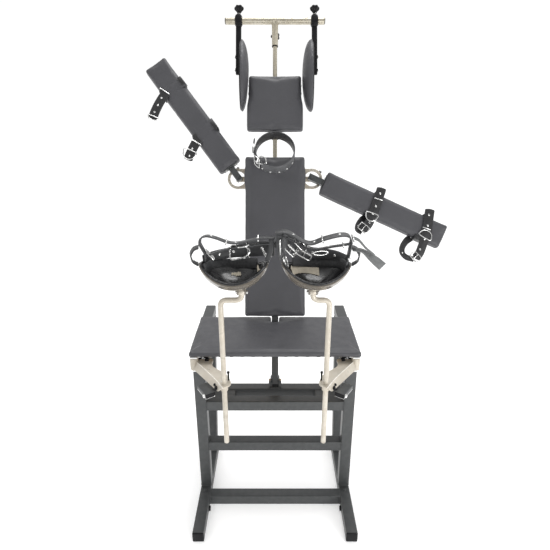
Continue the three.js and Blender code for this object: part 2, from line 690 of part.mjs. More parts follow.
function addCradle(name, sign) {
  const shell = bowl(0, 4, CRADLE_RIM_RADIUS);
  const lugs = [];
  const offset = sign * (CRADLE_PIVOT_X[name] - CRADLE_X);
  const pivotZ = CRADLE_PIVOT_Z - CRADLE_CENTRE_Z;
  for (const lugX of [offset - 11, offset + 11]) {
    // each lug ends halfway into the shell wall above it
    const curve = Math.sqrt(1 - (lugX / (CRADLE_HALF.x - 2)) ** 2);
    const lugTop = -(CRADLE_HALF.z - 2) * curve;
    lugs.push(block(lugX - 2, lugX + 2, -8, 8, pivotZ - 8, lugTop));
  }
  const shellWithLugs = join(shell, ...lugs);
  add(chair, `${name}_cradle_shell`, shellWithLugs, taupeShell, sign * CRADLE_X, ROD_Y, CRADLE_CENTRE_Z);
  const liner = bowl(4 + GAP, 13, CRADLE_RIM_RADIUS - 4);
  add(chair, `${name}_cradle_liner`, liner, blackLeather, sign * CRADLE_X, ROD_Y, CRADLE_CENTRE_Z);

  // strap arching over the bowl from rim to rim
  const archX = 94;
  const archHeight = 60;
  const leather = 4;
  const archWidth = 40;
  const archZ = 1022;
  const arch = new THREE.Shape();
  arch.absellipse(0, 0, archX, archHeight, 0, Math.PI);
  arch.lineTo(leather - archX, 0);
  arch.absellipse(0, 0, archX - leather, archHeight - leather, Math.PI, 0, true);
  const strap = along('y', extrude(arch, archWidth, 10)).rotateX(Math.PI);
  add(chair, `${name}_cradle_strap`, strap, blackLeather, sign * CRADLE_X, ROD_Y, archZ);
}

addFrame();
addSeat();
addMastFoot();
addMast();
addHead();
addArms();
addLegs();

export default chair;
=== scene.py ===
"""Padded positioning chair: the shown surface of every part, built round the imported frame.

Metres in the row frame, +Z up, the front of the chair towards -Y. Shapes are given in local
frames in millimetres (chair, mast, arm, cradle), which are read from the frame's joints and nodes.
"""

import json
import math
import random

import bmesh
import bpy
import numpy as np
from mathutils import Matrix, Vector, noise


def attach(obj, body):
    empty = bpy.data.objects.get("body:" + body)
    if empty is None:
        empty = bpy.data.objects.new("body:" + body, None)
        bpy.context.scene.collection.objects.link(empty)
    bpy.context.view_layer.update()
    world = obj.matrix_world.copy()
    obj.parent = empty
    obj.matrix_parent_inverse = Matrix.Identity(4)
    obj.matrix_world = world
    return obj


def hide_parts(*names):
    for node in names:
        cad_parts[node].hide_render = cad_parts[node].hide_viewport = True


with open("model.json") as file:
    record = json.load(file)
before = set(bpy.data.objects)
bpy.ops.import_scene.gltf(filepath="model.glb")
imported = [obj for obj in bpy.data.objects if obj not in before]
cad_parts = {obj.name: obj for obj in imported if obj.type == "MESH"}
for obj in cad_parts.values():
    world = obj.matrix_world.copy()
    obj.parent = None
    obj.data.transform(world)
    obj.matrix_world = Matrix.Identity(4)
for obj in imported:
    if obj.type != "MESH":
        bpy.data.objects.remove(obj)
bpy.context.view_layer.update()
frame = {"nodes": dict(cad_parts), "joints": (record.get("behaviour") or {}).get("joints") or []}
NODES = frame["nodes"]
JOINTS = {joint["name"]: joint for joint in frame["joints"]}
MM = 0.001
SIDES = (("left", -1), ("right", 1))
X_AXIS, Y_AXIS, Z_AXIS = Vector((1, 0, 0)), Vector((0, 1, 0)), Vector((0, 0, 1))

# ---------- local frames ----------


def axes(origin, x, y, z):
    """Matrix from a local frame in millimetres with these unit axes to the row frame."""
    matrix = Matrix((x, y, z)).transposed().to_4x4()
    matrix.translation = Vector(origin)
    return matrix @ Matrix.Scale(MM, 4)


def local_box(node, local):
    """Lowest and highest corner of a CAD node in a local frame."""
    inverse = local.inverted()
    points = np.array([inverse @ v.co for v in NODES[node].data.vertices])
    return Vector(points.min(0)), Vector(points.max(0))


UP = Vector(JOINTS["head_post_slide"]["axis"])
BACK = Vector(JOINTS["mast_lock_turn"]["axis"])
CHAIR = Matrix.Scale(MM, 4)
MAST = axes(JOINTS["mast_recline"]["pos_m"], X_AXIS, BACK, UP)

# x runs out along the arm, y to the rear and z to the arm's upper edge
ARM = {}
# x runs away from the middle of the chair, y to the rear and z up, from the middle of the bowl
CRADLE = {}
PIVOT_DROP = 106  # from the middle of the bowl down to its pivot
for side, sign in SIDES:
    low, high = local_box(f"{side}_arm_pad", MAST)
    pivot = MAST.inverted() @ Vector(JOINTS[f"{side}_arm_swing"]["pos_m"])
    reach = (low + high) / 2 - pivot
    out = Vector((reach.x, 0, reach.z)).normalized()
    edge = Vector((-sign * out.z, 0, sign * out.x))
    turn = MAST.to_3x3().normalized()
    ARM[side] = axes(MAST @ pivot, turn @ out, BACK, turn @ edge)
    low, high = local_box(f"{side}_cradle_shell", CHAIR)
    tilt = Vector(JOINTS[f"{side}_cradle_tilt"]["pos_m"])
    centre = Vector(((low.x + high.x) / 2 * MM, tilt.y, tilt.z + PIVOT_DROP * MM))
    CRADLE[side] = axes(centre, X_AXIS * sign, Y_AXIS, Z_AXIS)

# ---------- materials ----------


class Nodes:
    """Short way to add linked shader nodes to a material."""

    def __init__(self, material):
        self.tree = material.node_tree
        self.shader = self.tree.nodes["Principled BSDF"]
        self.place = self.add("ShaderNodeTexCoord").outputs["Object"]

    def add(self, kind, inputs=(), **settings):
        node = self.tree.nodes.new(kind)
        for key, value in settings.items():
            setattr(node, key, value)
        for key, value in dict(inputs).items():
            if isinstance(value, bpy.types.NodeSocket):
                self.tree.links.new(value, node.inputs[key])
            else:
                node.inputs[key].default_value = value
        return node

    def noise(self, scale, detail=3.0, stretch=None):
        vector = self.place
        if stretch:
            vector = self.add("ShaderNodeMapping", {"Vector": vector, "Scale": stretch}).outputs[0]
        inputs = {"Vector": vector, "Scale": scale, "Detail": detail}
        return self.add("ShaderNodeTexNoise", inputs).outputs["Fac"]

    def cells(self, scale):
        inputs = {"Vector": self.place, "Scale": scale}
        node = self.add("ShaderNodeTexVoronoi", inputs, feature="DISTANCE_TO_EDGE")
        return node.outputs["Distance"]

    def spread(self, value, low, high, start=0.3, end=0.7):
        inputs = {"Value": value, 1: start, 2: end, 3: low, 4: high}
        return self.add("ShaderNodeMapRange", inputs).outputs[0]

    def blend(self, share, first, second):
        node = self.add("ShaderNodeMix", {"Factor": share}, data_type="RGBA")
        for socket, value in ((node.inputs[6], first), (node.inputs[7], second)):
            if isinstance(value, bpy.types.NodeSocket):
                self.tree.links.new(value, socket)
            else:
                socket.default_value = value
        return node.outputs[2]

    def bump(self, height, depth, strength=0.6):
        normal = self.shader.inputs["Normal"]
        inputs = {"Height": height, "Distance": depth, "Strength": strength}
        if normal.is_linked:
            inputs["Normal"] = normal.links[0].from_socket
        node = self.add("ShaderNodeBump", inputs)
        self.tree.links.new(node.outputs[0], normal)


def colour(rgb, factor=1.0):
    return tuple(min(1.0, c * factor) for c in rgb) + (1.0,)


def surface(name, rgb, rough, metal=0.0, vary=0.12, vary_scale=9.0, rough_spread=0.08, **sockets):
    """Base material: colour and roughness that drift a little over the surface."""
    material = bpy.data.materials.new(name)
    material.use_nodes = True
    nodes = Nodes(material)
    drift = nodes.spread(nodes.noise(vary_scale, 5.0), 0.0, 1.0)
    base = nodes.blend(drift, colour(rgb, 1 - vary), colour(rgb, 1 + vary))
    nodes.tree.links.new(base, nodes.shader.inputs["Base Color"])
    blot = nodes.noise(vary_scale * 4.3, 4.0)
    roughness = nodes.spread(blot, rough - rough_spread, rough + rough_spread)
    nodes.tree.links.new(roughness, nodes.shader.inputs["Roughness"])
    nodes.shader.inputs["Metallic"].default_value = metal
    for key, value in sockets.items():
        nodes.shader.inputs[key.replace("_", " ")].default_value = value
    return material, nodes


def paint(name, rgb, rough, metal, wear_and_highlight_tone, edge_strength=0.5, **sockets):
    """Enamel or powder coat with orange peel. Its sharp edges turn lighter in patches, partly scuffed
    through and partly a painted edge highlight.
    """
    material, nodes = surface(name, rgb, rough, metal, **sockets)
    # sharp edges turn lighter in noisy patches: partly scuffed paint, partly a painted highlight where light
    # catches the corners
    point = nodes.add("ShaderNodeNewGeometry").outputs["Pointiness"]
    edge = nodes.spread(point, 0.0, 1.0, 0.52, 0.6)
    patch = nodes.spread(nodes.noise(55.0, 6.0), 0.0, edge_strength, 0.42, 0.62)
    share = nodes.add("ShaderNodeMath", {0: edge, 1: patch}, operation="MULTIPLY").outputs[0]
    base = nodes.shader.inputs["Base Color"].links[0].from_socket
    mixed = nodes.blend(share, base, colour(wear_and_highlight_tone))
    nodes.tree.links.new(mixed, nodes.shader.inputs["Base Color"])
    nodes.bump(nodes.noise(650.0, 2.0), 0.0002, 0.25)
    return material


def hide(name, rgb, rough, grain, depth, strength=0.5, **sockets):
    """Leather or artificial leather: pebbled grain and faint creases."""
    material, nodes = surface(name, rgb, rough, **sockets)
    pebble = nodes.spread(nodes.cells(grain), 0.0, 1.0, 0.0, 0.25)
    nodes.bump(pebble, depth, strength)
    nodes.bump(nodes.noise(38.0, 6.0, (1.0, 1.0, 2.2)), 0.0012, 0.22)
    return material


charcoal = paint(
    "charcoal_coat", (0.05, 0.053, 0.054), 0.4, 0.15, (0.2, 0.2, 0.195), 0.15,
    vary=0.04, rough_spread=0.03, vary_scale=4.0,
)
cream = paint("cream_enamel", (0.5, 0.455, 0.38), 0.34, 0.15, (0.7, 0.67, 0.61), 0.6)
satin_bar = paint("satin_bar", (0.46, 0.42, 0.33), 0.3, 0.55, (0.75, 0.72, 0.64), 0.4, vary=0.06)
# light cream for the line along each leg bracket's fold: a painted highlight
fold_highlight_paint = paint("rubbed_edge", (0.85, 0.82, 0.76), 0.3, 0.2, (0.9, 0.88, 0.84))
cloth = hide("cushion_cover", (0.058, 0.058, 0.064), 0.5, 620.0, 0.00022, 0.4, vary=0.07)
strap_hide = hide("strap_leather", (0.017, 0.017, 0.018), 0.46, 480.0, 0.0003, 0.4)
band_hide = hide("band_leather", (0.04, 0.041, 0.043), 0.4, 420.0, 0.0003, 0.6)
glossy_hide = hide("glossy_lining", (0.01, 0.01, 0.011), 0.26, 260.0, 0.0004, 0.3, rough_spread=0.06)
glossy_hide.node_tree.nodes["Principled BSDF"].inputs["Coat Weight"].default_value = 0.12
thread = hide("thread", (0.05, 0.05, 0.052), 0.6, 2000.0, 0.0001)
shell_gloss, shell_nodes = surface("taupe_shell", (0.13, 0.113, 0.09), 0.24, vary=0.22, vary_scale=14.0)
shell_nodes.shader.inputs["Coat Weight"].default_value = 0.6
shell_nodes.bump(shell_nodes.noise(30.0, 3.0), 0.002, 0.25)
plastic, plastic_nodes = surface("black_moulding", (0.006, 0.006, 0.007), 0.42)
plastic_nodes.shader.inputs["Specular IOR Level"].default_value = 0.18
plastic_nodes.bump(plastic_nodes.noise(900.0, 2.0), 0.0002, 0.35)
chrome, chrome_nodes = surface("bright_steel", (0.72, 0.72, 0.71), 0.13, 1.0, 0.06, 40.0, 0.06)
chrome_nodes.bump(chrome_nodes.noise(240.0, 3.0, (1.0, 1.0, 8.0)), 0.0001, 0.2)
webbing, webbing_nodes = surface("grey_webbing", (0.15, 0.155, 0.155), 0.75, vary=0.15, vary_scale=60.0)
weave_inputs = {"Vector": webbing_nodes.place, "Scale": 190.0, "Distortion": 1.0}
weave = webbing_nodes.add("ShaderNodeTexWave", weave_inputs, bands_direction="DIAGONAL")
webbing_nodes.bump(weave.outputs["Fac"], 0.0006, 0.7)
loop_tape, tape_nodes = surface("beige_tape", (0.5, 0.45, 0.36), 0.85, vary=0.15, vary_scale=90.0)
tape_nodes.bump(tape_nodes.noise(900.0, 5.0), 0.0008, 0.9)
ply, ply_nodes = surface("plywood", (0.42, 0.29, 0.16), 0.62, vary=0.2, vary_scale=5.0)
grain = ply_nodes.noise(60.0, 8.0, (1.0, 1.0, 0.06))
ply_base = ply_nodes.shader.inputs["Base Color"].links[0].from_socket
streaked = ply_nodes.blend(ply_nodes.spread(grain, 0.0, 0.7), ply_base, (0.24, 0.15, 0.075, 1.0))
ply_nodes.tree.links.new(streaked, ply_nodes.shader.inputs["Base Color"])
ply_nodes.bump(grain, 0.0006, 0.4)
# near-black for the pin holes of the quadrants: painted shade standing in for the holes
hole_shade_paint, _ = surface("dark_hole", (0.006, 0.006, 0.006), 0.8)

# ---------- shapes ----------


def pointing(at, direction, spin=0.0):
    """Placement whose local +Z points along direction."""
    turn = Vector(direction).to_track_quat("Z", "Y").to_matrix().to_4x4()
    return Matrix.Translation(at) @ turn @ Matrix.Rotation(spin, 4, "Z")


def resample(points, step, closed=False):
    """Even steps along a smooth curve through points, as (segment index, share, position)."""
    points = [Vector(p) for p in points]
    count = len(points)
    samples = []
    for i in range(count if closed else count - 1):
        if closed:
            a, b, c, d = (points[(i + k) % count] for k in (-1, 0, 1, 2))
        else:
            a, b, c, d = (points[min(max(i + k, 0), count - 1)] for k in (-1, 0, 1, 2))
        pieces = max(1, round((c - b).length / step))
        for k in range(pieces):
            t = k / pieces
            curve = 2 * b + (c - a) * t + (2 * a - 5 * b + 4 * c - d) * t * t
            curve += (3 * b - a - 3 * c + d) * t**3
            samples.append((i, t, curve / 2))
    if not closed:
        samples.append((count - 2, 1.0, points[-1]))
    return samples


class Part:
    """Collects simple shapes, given in a local frame in millimetres, into one mesh."""

    def __init__(self, local=CHAIR):
        self.local = local
        self.verts = []
        self.faces = []

    def add(self, verts, faces, place=None):
        matrix = self.local @ place if place is not None else self.local
        base = len(self.verts)
        self.verts += [matrix @ Vector(v) for v in verts]
        step = -1 if matrix.determinant() < 0 else 1
        self.faces += [tuple(base + i for i in face)[::step] for face in faces]
        return self

    def box(self, x0, x1, y0, y1, z0, z1, place=None):
        verts = [(x, y, z) for z in (z0, z1) for x, y in ((x0, y0), (x1, y0), (x1, y1), (x0, y1))]
        faces = [(3, 2, 1, 0), (4, 5, 6, 7), (0, 1, 5, 4), (1, 2, 6, 5), (2, 3, 7, 6), (3, 0, 4, 7)]
        return self.add(verts, faces, place)

    def rings(self, rings, closed=False, caps=True):
        """Skin over a list of equal rings of points."""
        count = len(rings[0])
        faces = []
        for i in range(len(rings) if closed else len(rings) - 1):
            a, b = i * count, (i + 1) % len(rings) * count
            faces += [(a + j, a + (j + 1) % count, b + (j + 1) % count, b + j) for j in range(count)]
        if caps and not closed:
            last = (len(rings) - 1) * count
            faces += [tuple(range(count))[::-1], tuple(range(last, last + count))]
        return self.add([p for ring in rings for p in ring], faces)

    def lathe(self, profile, place, segments=20, lobes=0, depth=0.0, caps=True):
        """Turned shape from (radius, height) pairs; depth deepens the lobes of a hand knob."""
        rings = []
        for radius, height in profile:
            ring = []
            for k in range(segments):
                angle = 2 * math.pi * k / segments
                lobe = 1 - depth * (1 - math.cos(lobes * angle)) / 2 if lobes else 1
                r = max(radius * lobe, 0.01)
                ring.append(place @ Vector((r * math.cos(angle), r * math.sin(angle), height)))
            rings.append(ring)
        return self.rings(rings, caps=caps)

    def tube(self, points, radius, closed=False, segments=10, step=4.0, flat=1.0):
        """Round wire or rod along a smooth curve."""
        path = [p for _, _, p in resample(points, step, closed)]
        rings = []
        side = None
        for i, point in enumerate(path):
            if closed:
                ahead = path[(i + 1) % len(path)] - path[i - 1]
            else:
                ahead = path[min(i + 1, len(path) - 1)] - path[max(i - 1, 0)]
            ahead.normalize()
            if side is None:
                side = ahead.orthogonal().normalized()
            side = (side - ahead * side.dot(ahead)).normalized()
            other = ahead.cross(side)
            angles = [2 * math.pi * k / segments for k in range(segments)]
            rings.append(
                [
                    point + side * (radius * math.cos(a)) + other * (radius * flat * math.sin(a))
                    for a in angles
                ]
            )
        return self.rings(rings, closed)

    def band(self, points, across, width, thick, closed=False, tips=(0, 0), ribs=0.0, step=3.0):
        """Strap along a smooth curve. Returns its samples as (point, across, normal, width, length)."""
        count = len(points)
        acrosses = across if isinstance(across, list) else [across] * count
        widths = width if isinstance(width, list) else [width] * count
        samples = resample(points, 0.9 if ribs else step, closed)
        path = [p for _, _, p in samples]
        run = [0.0]
        for a, b in zip(path, path[1:]):
            run.append(run[-1] + (b - a).length)
        frames = []
        rings = []
        for i, (segment, t, point) in enumerate(samples):
            following = (segment + 1) % count
            if closed:
                ahead = path[(i + 1) % len(path)] - path[i - 1]
            else:
                ahead = path[min(i + 1, len(path) - 1)] - path[max(i - 1, 0)]
            ahead.normalize()
            side = Vector(acrosses[segment]).lerp(Vector(acrosses[following]), t)
            normal = ahead.cross(side).normalized()
            side = normal.cross(ahead)
            half = (widths[segment] * (1 - t) + widths[following] * t) / 2
            for tip, left in zip(tips, (run[i], run[-1] - run[i])):
                if tip and left < tip:
                    half *= math.sqrt(max(0.02, 1 - (1 - left / tip) ** 2))
            b = thick / 2
            if ribs:
                b += 0.55 * math.sin(run[i] * 2 * math.pi / ribs)
            e = min(thick * 0.32, half * 0.5)
            shape = [(-half, e - b), (e - half, -b), (0, -b), (half - e, -b), (half, e - b)]
            shape += [(half, b - e), (half - e, b), (0, b), (e - half, b), (-half, b - e)]
            rings.append([point + side * s + normal * n for s, n in shape])
            frames.append((point, side, normal, 2 * half, run[i]))
        self.rings(rings, closed)
        return frames

    def stitches(self, frames, lift, inset=3.2, pitch=5.4, faces=(1,)):
        """Rows of thread along both edges of a band."""
        due = pitch
        for (a, side, normal, width, run), (b, *_rest) in zip(frames, frames[1:]):
            if run < due or width < 4 * inset:
                continue
            due = run + pitch
            ahead = (b - a).normalized()
            for edge_sign in (-1, 1):
                for face in faces:
                    centre = a + side * edge_sign * (width / 2 - inset) + normal * face * lift
                    steps = ((-2.0, 0.1), (-1.2, 0.5), (1.2, 0.5), (2.0, 0.1))
                    rings = []
                    for along_thread, r in steps:
                        spot = centre + ahead * along_thread
                        corners = ((1, 0), (0, 1), (-1, 0), (0, -1))
                        rings.append([spot + side * r * c + normal * r * s for c, s in corners])
                    self.rings(rings)
        return self

    def rivet(self, at, normal, radius=3.6):
        r = radius
        profile = [(r * 0.98, -0.8), (r, 0.15), (r * 0.86, 0.75), (r * 0.5, 1.35), (0, 1.6)]
        return self.lathe(profile, pointing(at, normal), 16)

    def eyelet(self, at, normal, radius=4.2):
        ring = [
            (math.cos(a) * radius * 0.72, math.sin(a) * radius * 0.72, 0.2)
            for a in (2 * math.pi * k / 12 for k in range(12))
        ]
        place = pointing(at, normal)
        return self.tube([place @ Vector(p) for p in ring], radius * 0.28, True, 8, 1.6)

    def buckle(self, at, along, side, length=30.0, width=42.0, wire=2.0):
        """Rectangular frame buckle with a tongue and a roller."""
        along, side = Vector(along).normalized(), Vector(side).normalized()
        at = Vector(at)
        normal = along.cross(side)
        a, b, c = length / 2, width / 2, min(length, width) * 0.2
        loop = [
            (-a, c - b), (-a, b - c), (c - a, b), (a - c, b), (a, b - c), (a, c - b), (a - c, -b),
            (c - a, -b),
        ]
        self.tube([at + along * p + side * q for p, q in loop], wire, True, 10, 3.0)
        tongue = [
            at - along * (a + 1) + normal * 1.5, at + normal * 3.0, at + along * (a + 2.5) + normal * 1.0
        ]
        self.tube(tongue, wire * 0.75, False, 8, 3.0)
        self.tube(
            [at + along * a - side * (b - c), at + along * a + side * (b - c)], wire * 1.5, False, 12, 6.0
        )
        return self

    def ring(self, at, along, side, length, width, wire=2.0):
        """D ring: a straight bar at the start and a round end along its length."""
        along, side = Vector(along).normalized(), Vector(side).normalized()
        loop = [
            (0, -0.5), (0, 0.5), (0.45, 0.5), (0.72, 0.42), (0.92, 0.24), (1, 0), (0.92, -0.24),
            (0.72, -0.42), (0.45, -0.5),
        ]
        points = [Vector(at) + along * length * p + side * width * q for p, q in loop]
        return self.tube(points, wire, True, 10, 3.0)

    def build(self, name, body, material, slot=None, bevel=0.0, smooth=35, replaces=()):
        mesh = bpy.data.meshes.new(name)
        mesh.from_pydata(self.verts, [], self.faces)
        bm = bmesh.new()
        bm.from_mesh(mesh)
        bmesh.ops.recalc_face_normals(bm, faces=bm.faces)
        bm.to_mesh(mesh)
        bm.free()
        obj = bpy.data.objects.new(name, mesh)
        bpy.context.scene.collection.objects.link(obj)
        dress(obj, material, bevel, smooth)
        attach(obj, body)
        if replaces:
            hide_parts(*replaces)
        return obj


def dress(obj, material, bevel=0.0, smooth=35):
    """Material, soft shading and rounded edges of a hard part."""
    obj.data.materials.clear()
    obj.data.materials.append(material)
    obj.data.shade_smooth()
    if bevel:
        modifier = obj.modifiers.new("Edges", "BEVEL")
        modifier.width = bevel * MM
        modifier.segments = 2
        modifier.limit_method = "ANGLE"
        modifier.angle_limit = math.radians(30)
        modifier.harden_normals = False
        obj.modifiers.new("Normals", "WEIGHTED_NORMAL")
    else:
        obj.data.set_sharp_from_angle(angle=math.radians(smooth))


def keep(nodes, material, bevel=0.9):
    """CAD nodes that stay shown, with rounded edges."""
    for name in nodes:
        weld = NODES[name].modifiers.new("Weld", "WELD")
        weld.merge_threshold = 0.00001
        dress(NODES[name], material, bevel)


# ---------- frame ----------

frame_tubes = [
    f"{s}_{n}" for s, _ in SIDES for n in ("floor_rail", "front_upright", "rear_leg", "side_rail")
]
frame_tubes += ["lower_cross_tube", "middle_cross_tube", "upper_cross_frame", "mast_socket", "mast_tube"]
frame_tubes += ["left_bracket_stay", "right_bracket_stay"]
keep(frame_tubes, charcoal, 1.1)
keep(["mast_pivot_bolt", "left_bracket_pivot", "right_bracket_pivot"], chrome, 0.6)
keep(["seat_board", "back_board", "head_board"], ply, 0.6)
keep(["shoulder_bar"], cream, 1.1)

caps = Part()
for side, sign in SIDES:
    for rail in ("floor_rail", "side_rail"):
        low, high = local_box(f"{side}_{rail}", CHAIR)
        middle = (low + high) / 2
        half = (high.z - low.z) / 2
        for end, way in ((low.y, -1), (high.y, 1)):
            rings = []
            for inset, out in ((3.2, -8.0), (3.0, 0.0), (0.4, 0.05), (0.2, 1.6), (1.2, 3.0), (5.0, 3.9)):
                r = half - inset
                corner = 3.0
                ring = []
                for cx, cz, start in ((1, 1, 0), (-1, 1, 90), (-1, -1, 180), (1, -1, 270)):
                    for k in range(4):
                        a = math.radians(start + 30 * k)
                        x = middle.x + cx * (r - corner) + corner * math.cos(a)
                        z = middle.z + cz * (r - corner) + corner * math.sin(a)
                        ring.append(Vector((x, end + way * out, z)))
                rings.append(ring[::-1] if way > 0 else ring)
            caps.rings(rings)
caps.build("tube_caps", "frame", plastic, "black_plastic", smooth=40)


def bead(part, centre, half, axis, radius=1.7):
    """Weld bead round the end of a square tube."""
    rng = random.Random(round(abs(centre[0]) + 3 * centre[1] + 7 * centre[2]))
    others = [k for k in range(3) if k != axis]
    loop = []
    for k in range(52):
        t = k / 52 * 4
        edge, share = int(t), (t - int(t)) * 2 - 1
        corner = ((share, -1), (1, share), (-share, 1), (-1, -share))[edge]
        limit = 1 - 0.12 * max(0.0, abs(share) - 0.8) / 0.2
        point = Vector(centre)
        point[others[0]] += corner[0] * half * limit
        point[others[1]] += corner[1] * half * limit
        point[axis] += rng.uniform(-0.35, 0.35)
        point.z = max(point.z, radius + 0.2)
        loop.append(point)
    part.tube(loop, radius, True, 8, 3.0)


welds = Part()
for side, sign in SIDES:
    for post in ("front_upright", "rear_leg"):
        low, high = local_box(f"{side}_{post}", CHAIR)
        half = (high.x - low.x) / 2
        x = (low.x + high.x) / 2
        foot = low.y + half
        head = high.y - half
        bead(welds, (x, foot, low.z), half, 2)
        bead(welds, (x, head, high.z), half, 2)
    for tube in ("lower_cross_tube", "middle_cross_tube"):
        low, high = local_box(tube, CHAIR)
        end = high.x if sign > 0 else low.x
        bead(welds, (end, (low.y + high.y) / 2, (low.z + high.z) / 2), (high.z - low.z) / 2, 0)
    low, high = local_box("upper_cross_frame", CHAIR)
    half = (high.z - low.z) / 2
    for y in (low.y + half, high.y - half):
        bead(welds, (high.x if sign > 0 else low.x, y, (low.z + high.z) / 2), half, 0)
welds.build("weld_beads", "frame", charcoal, "charcoal_paint", smooth=60)

BOLT_HEAD = [(6.2, 0), (6.5, 0.8), (6.5, 1.6), (5.0, 1.7), (5.2, 4.4), (4.4, 5.2), (0, 5.3)]
bolts = Part()
pads = Part()
for side, sign in SIDES:
    low, high = local_box(f"{side}_floor_rail", CHAIR)
    x = (low.x + high.x) / 2
    bolts.lathe([(9.0, 0), (9.0, 1.2), (6.4, 1.3)] + BOLT_HEAD[3:], pointing((x, 10, high.z), Z_AXIS), 18)
    # round stop on the inner face of the rail, in front of the cross tube
    inner = x - sign * (high.x - low.x) / 2
    place = pointing((inner, -47, low.z + 11), (-sign, 0, 0))
    pads.lathe([(9.5, -1), (9.5, 3.4), (8.6, 5.2), (5.0, 6.0), (0, 6.1)], place, 20)
bolts.build("rail_bolts", "frame", charcoal, "charcoal_paint", smooth=40)
pads.build("rail_stops", "frame", plastic, "black_plastic", smooth=50)

# ---------- cushions ----------

cushions = []


def voxels(obj, size):
    modifier = obj.modifiers.new("Voxels", "REMESH")
    modifier.mode = "VOXEL"
    modifier.voxel_size = size
    graph = bpy.context.evaluated_depsgraph_get()
    mesh = bpy.data.meshes.new_from_object(obj.evaluated_get(graph))
    obj.modifiers.clear()
    obj.data = mesh


def cushion(name, body, local, outline, rear, front, round_edge=7.0, fill=0.7, voxel=5.0, shape=None):
    """Foam pad under a stretched cover. The outline lies in the local x-z plane (millimetres), the
    pad runs from rear to front along local y. The cover is held all round its rear face."""
    bm = bmesh.new()
    if shape:
        shape(bm)
    else:
        base = [bm.verts.new((x, rear, z)) for x, z in outline]
        bm.faces.new(base)
        made = bmesh.ops.extrude_face_region(bm, geom=bm.faces[:])
        moved = [g for g in made["geom"] if isinstance(g, bmesh.types.BMVert)]
        bmesh.ops.translate(bm, verts=moved, vec=(0, front - rear, 0))
        bmesh.ops.recalc_face_normals(bm, faces=bm.faces)
        bmesh.ops.bevel(
            bm, geom=bm.edges[:], offset=round_edge, segments=4, profile=0.6, affect="EDGES",
            clamp_overlap=True,
        )
    mesh = bpy.data.meshes.new(name)
    bmesh.ops.scale(bm, vec=(MM, MM, MM), verts=bm.verts)
    bm.to_mesh(mesh)
    obj = bpy.data.objects.new(name, mesh)
    bpy.context.scene.collection.objects.link(obj)
    voxels(obj, voxel * MM)
    obj.matrix_world = local @ Matrix.Scale(1 / MM, 4)
    way = 1 if front > rear else -1
    held = [v.index for v in obj.data.vertices if (v.co.y / MM - rear) * way < 3.5]
    cushions.append({"obj": obj, "body": body, "held": held, "outline": outline, "fill": fill})
    return obj


def inflate(frames=20):
    """Lets every cover swell a little over its foam, held along its rear edge."""
    scene = bpy.context.scene
    scene.frame_start, scene.frame_end = 1, frames
    for item in cushions:
        obj = item["obj"]
        group = obj.vertex_groups.new(name="held")
        group.add(item["held"], 1.0, "REPLACE")
        cover = obj.modifiers.new("Cover", "CLOTH")
        settings = cover.settings
        settings.quality = 4
        settings.mass = 0.25
        settings.tension_stiffness = settings.compression_stiffness = 30
        settings.shear_stiffness = 12
        settings.bending_stiffness = 1.5
        settings.air_damping = 2
        settings.use_pressure = True
        settings.uniform_pressure_force = 4
        settings.effector_weights.gravity = 0
        settings.vertex_group_mass = "held"
        cover.point_cache.frame_start, cover.point_cache.frame_end = 1, frames
    for number in range(1, frames + 1):
        scene.frame_set(number)
    graph = bpy.context.evaluated_depsgraph_get()
    swollen = []
    for item in cushions:
        shown = item["obj"].evaluated_get(graph)
        swollen.append(np.array([v.co for v in shown.data.vertices]))
    for item, points in zip(cushions, swollen):
        obj = item["obj"]
        obj.modifiers.clear()
        rest = np.array([v.co for v in obj.data.vertices])
        moved = points - rest
        for axis, cap in ((0, 1.2), (1, 3.4), (2, 1.2)):
            cap *= MM
            moved[:, axis] = cap * np.tanh(moved[:, axis] / cap)
        obj.data.vertices.foreach_set("co", (rest + moved).ravel())
        obj.data.update()
    scene.frame_set(1)


def pucker(item):
    """Short pull folds along the edges of the cover and gathers at its corners."""
    obj, outline = item["obj"], item["outline"]
    xs, zs = [p[0] for p in outline], [p[1] for p in outline]
    x0, x1, z0, z1 = min(xs), max(xs), min(zs), max(zs)
    seed = Vector((0, 0, sum(map(ord, obj.name)) % 97))
    normals = [v.normal.copy() for v in obj.data.vertices]
    for vertex, normal in zip(obj.data.vertices, normals):
        x, _, z = vertex.co / MM
        from_x, from_z = min(x - x0, x1 - x), min(z - z0, z1 - z)
        near = min(from_x, from_z)
        run = z if from_x < from_z else x
        fold = noise.noise(
            Vector((run * 0.055, 0, 0)) + seed
        ) + 0.5 * noise.noise(Vector((run * 0.13, 9, 0)) + seed)
        lift = 0.55 * fold * math.exp(-max(near, 0) / 13)
        corner = math.hypot(from_x, from_z)
        swing = math.atan2(max(from_z, 0), max(from_x, 0.01))
        lift += 0.75 * math.cos(11 * swing + seed.z) * math.exp(-corner / 17)
        lift += 0.5 * noise.noise(vertex.co * 9 + seed)
        vertex.co += normal * lift * MM
    obj.data.update()


def finish_cushions():
    inflate()
    for item in cushions:
        obj = item["obj"]
        pucker(item)
        smooth = obj.modifiers.new("Smooth", "SUBSURF")
        smooth.levels = smooth.render_levels = 1
        obj.data.materials.clear()
        obj.data.materials.append(cloth)
        obj.data.shade_smooth()
        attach(obj, item["body"])


def rectangle(x0, x1, z0, z1):
    return [(x0, z0), (x1, z0), (x1, z1), (x0, z1)]


# the seat's frame has local y down, so that its outline is drawn in the chair's x-y plane
low, high = local_box("seat_pad", CHAIR)
SEAT = axes((0, 0, 0), X_AXIS, -Z_AXIS, Y_AXIS)
notch_x, notch_y = 12.8, high.y - 42.5
s = 1.2  # a cover starts this much inside its solid, and swells out to it
seat_outline = [
    (low.x + s, low.y + s), (high.x - s, low.y + s), (high.x - s, high.y - s), (notch_x + s, high.y - s),
    (notch_x + s, notch_y - s), (
        -notch_x - s, notch_y - s
    ), (-notch_x - s, high.y - s), (low.x + s, high.y - s),
]
seat = cushion("seat_cushion", "frame", SEAT, seat_outline, -(low.z + 1.0), -(high.z - 3.0), 6.5, 0.65)
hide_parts("seat_pad")

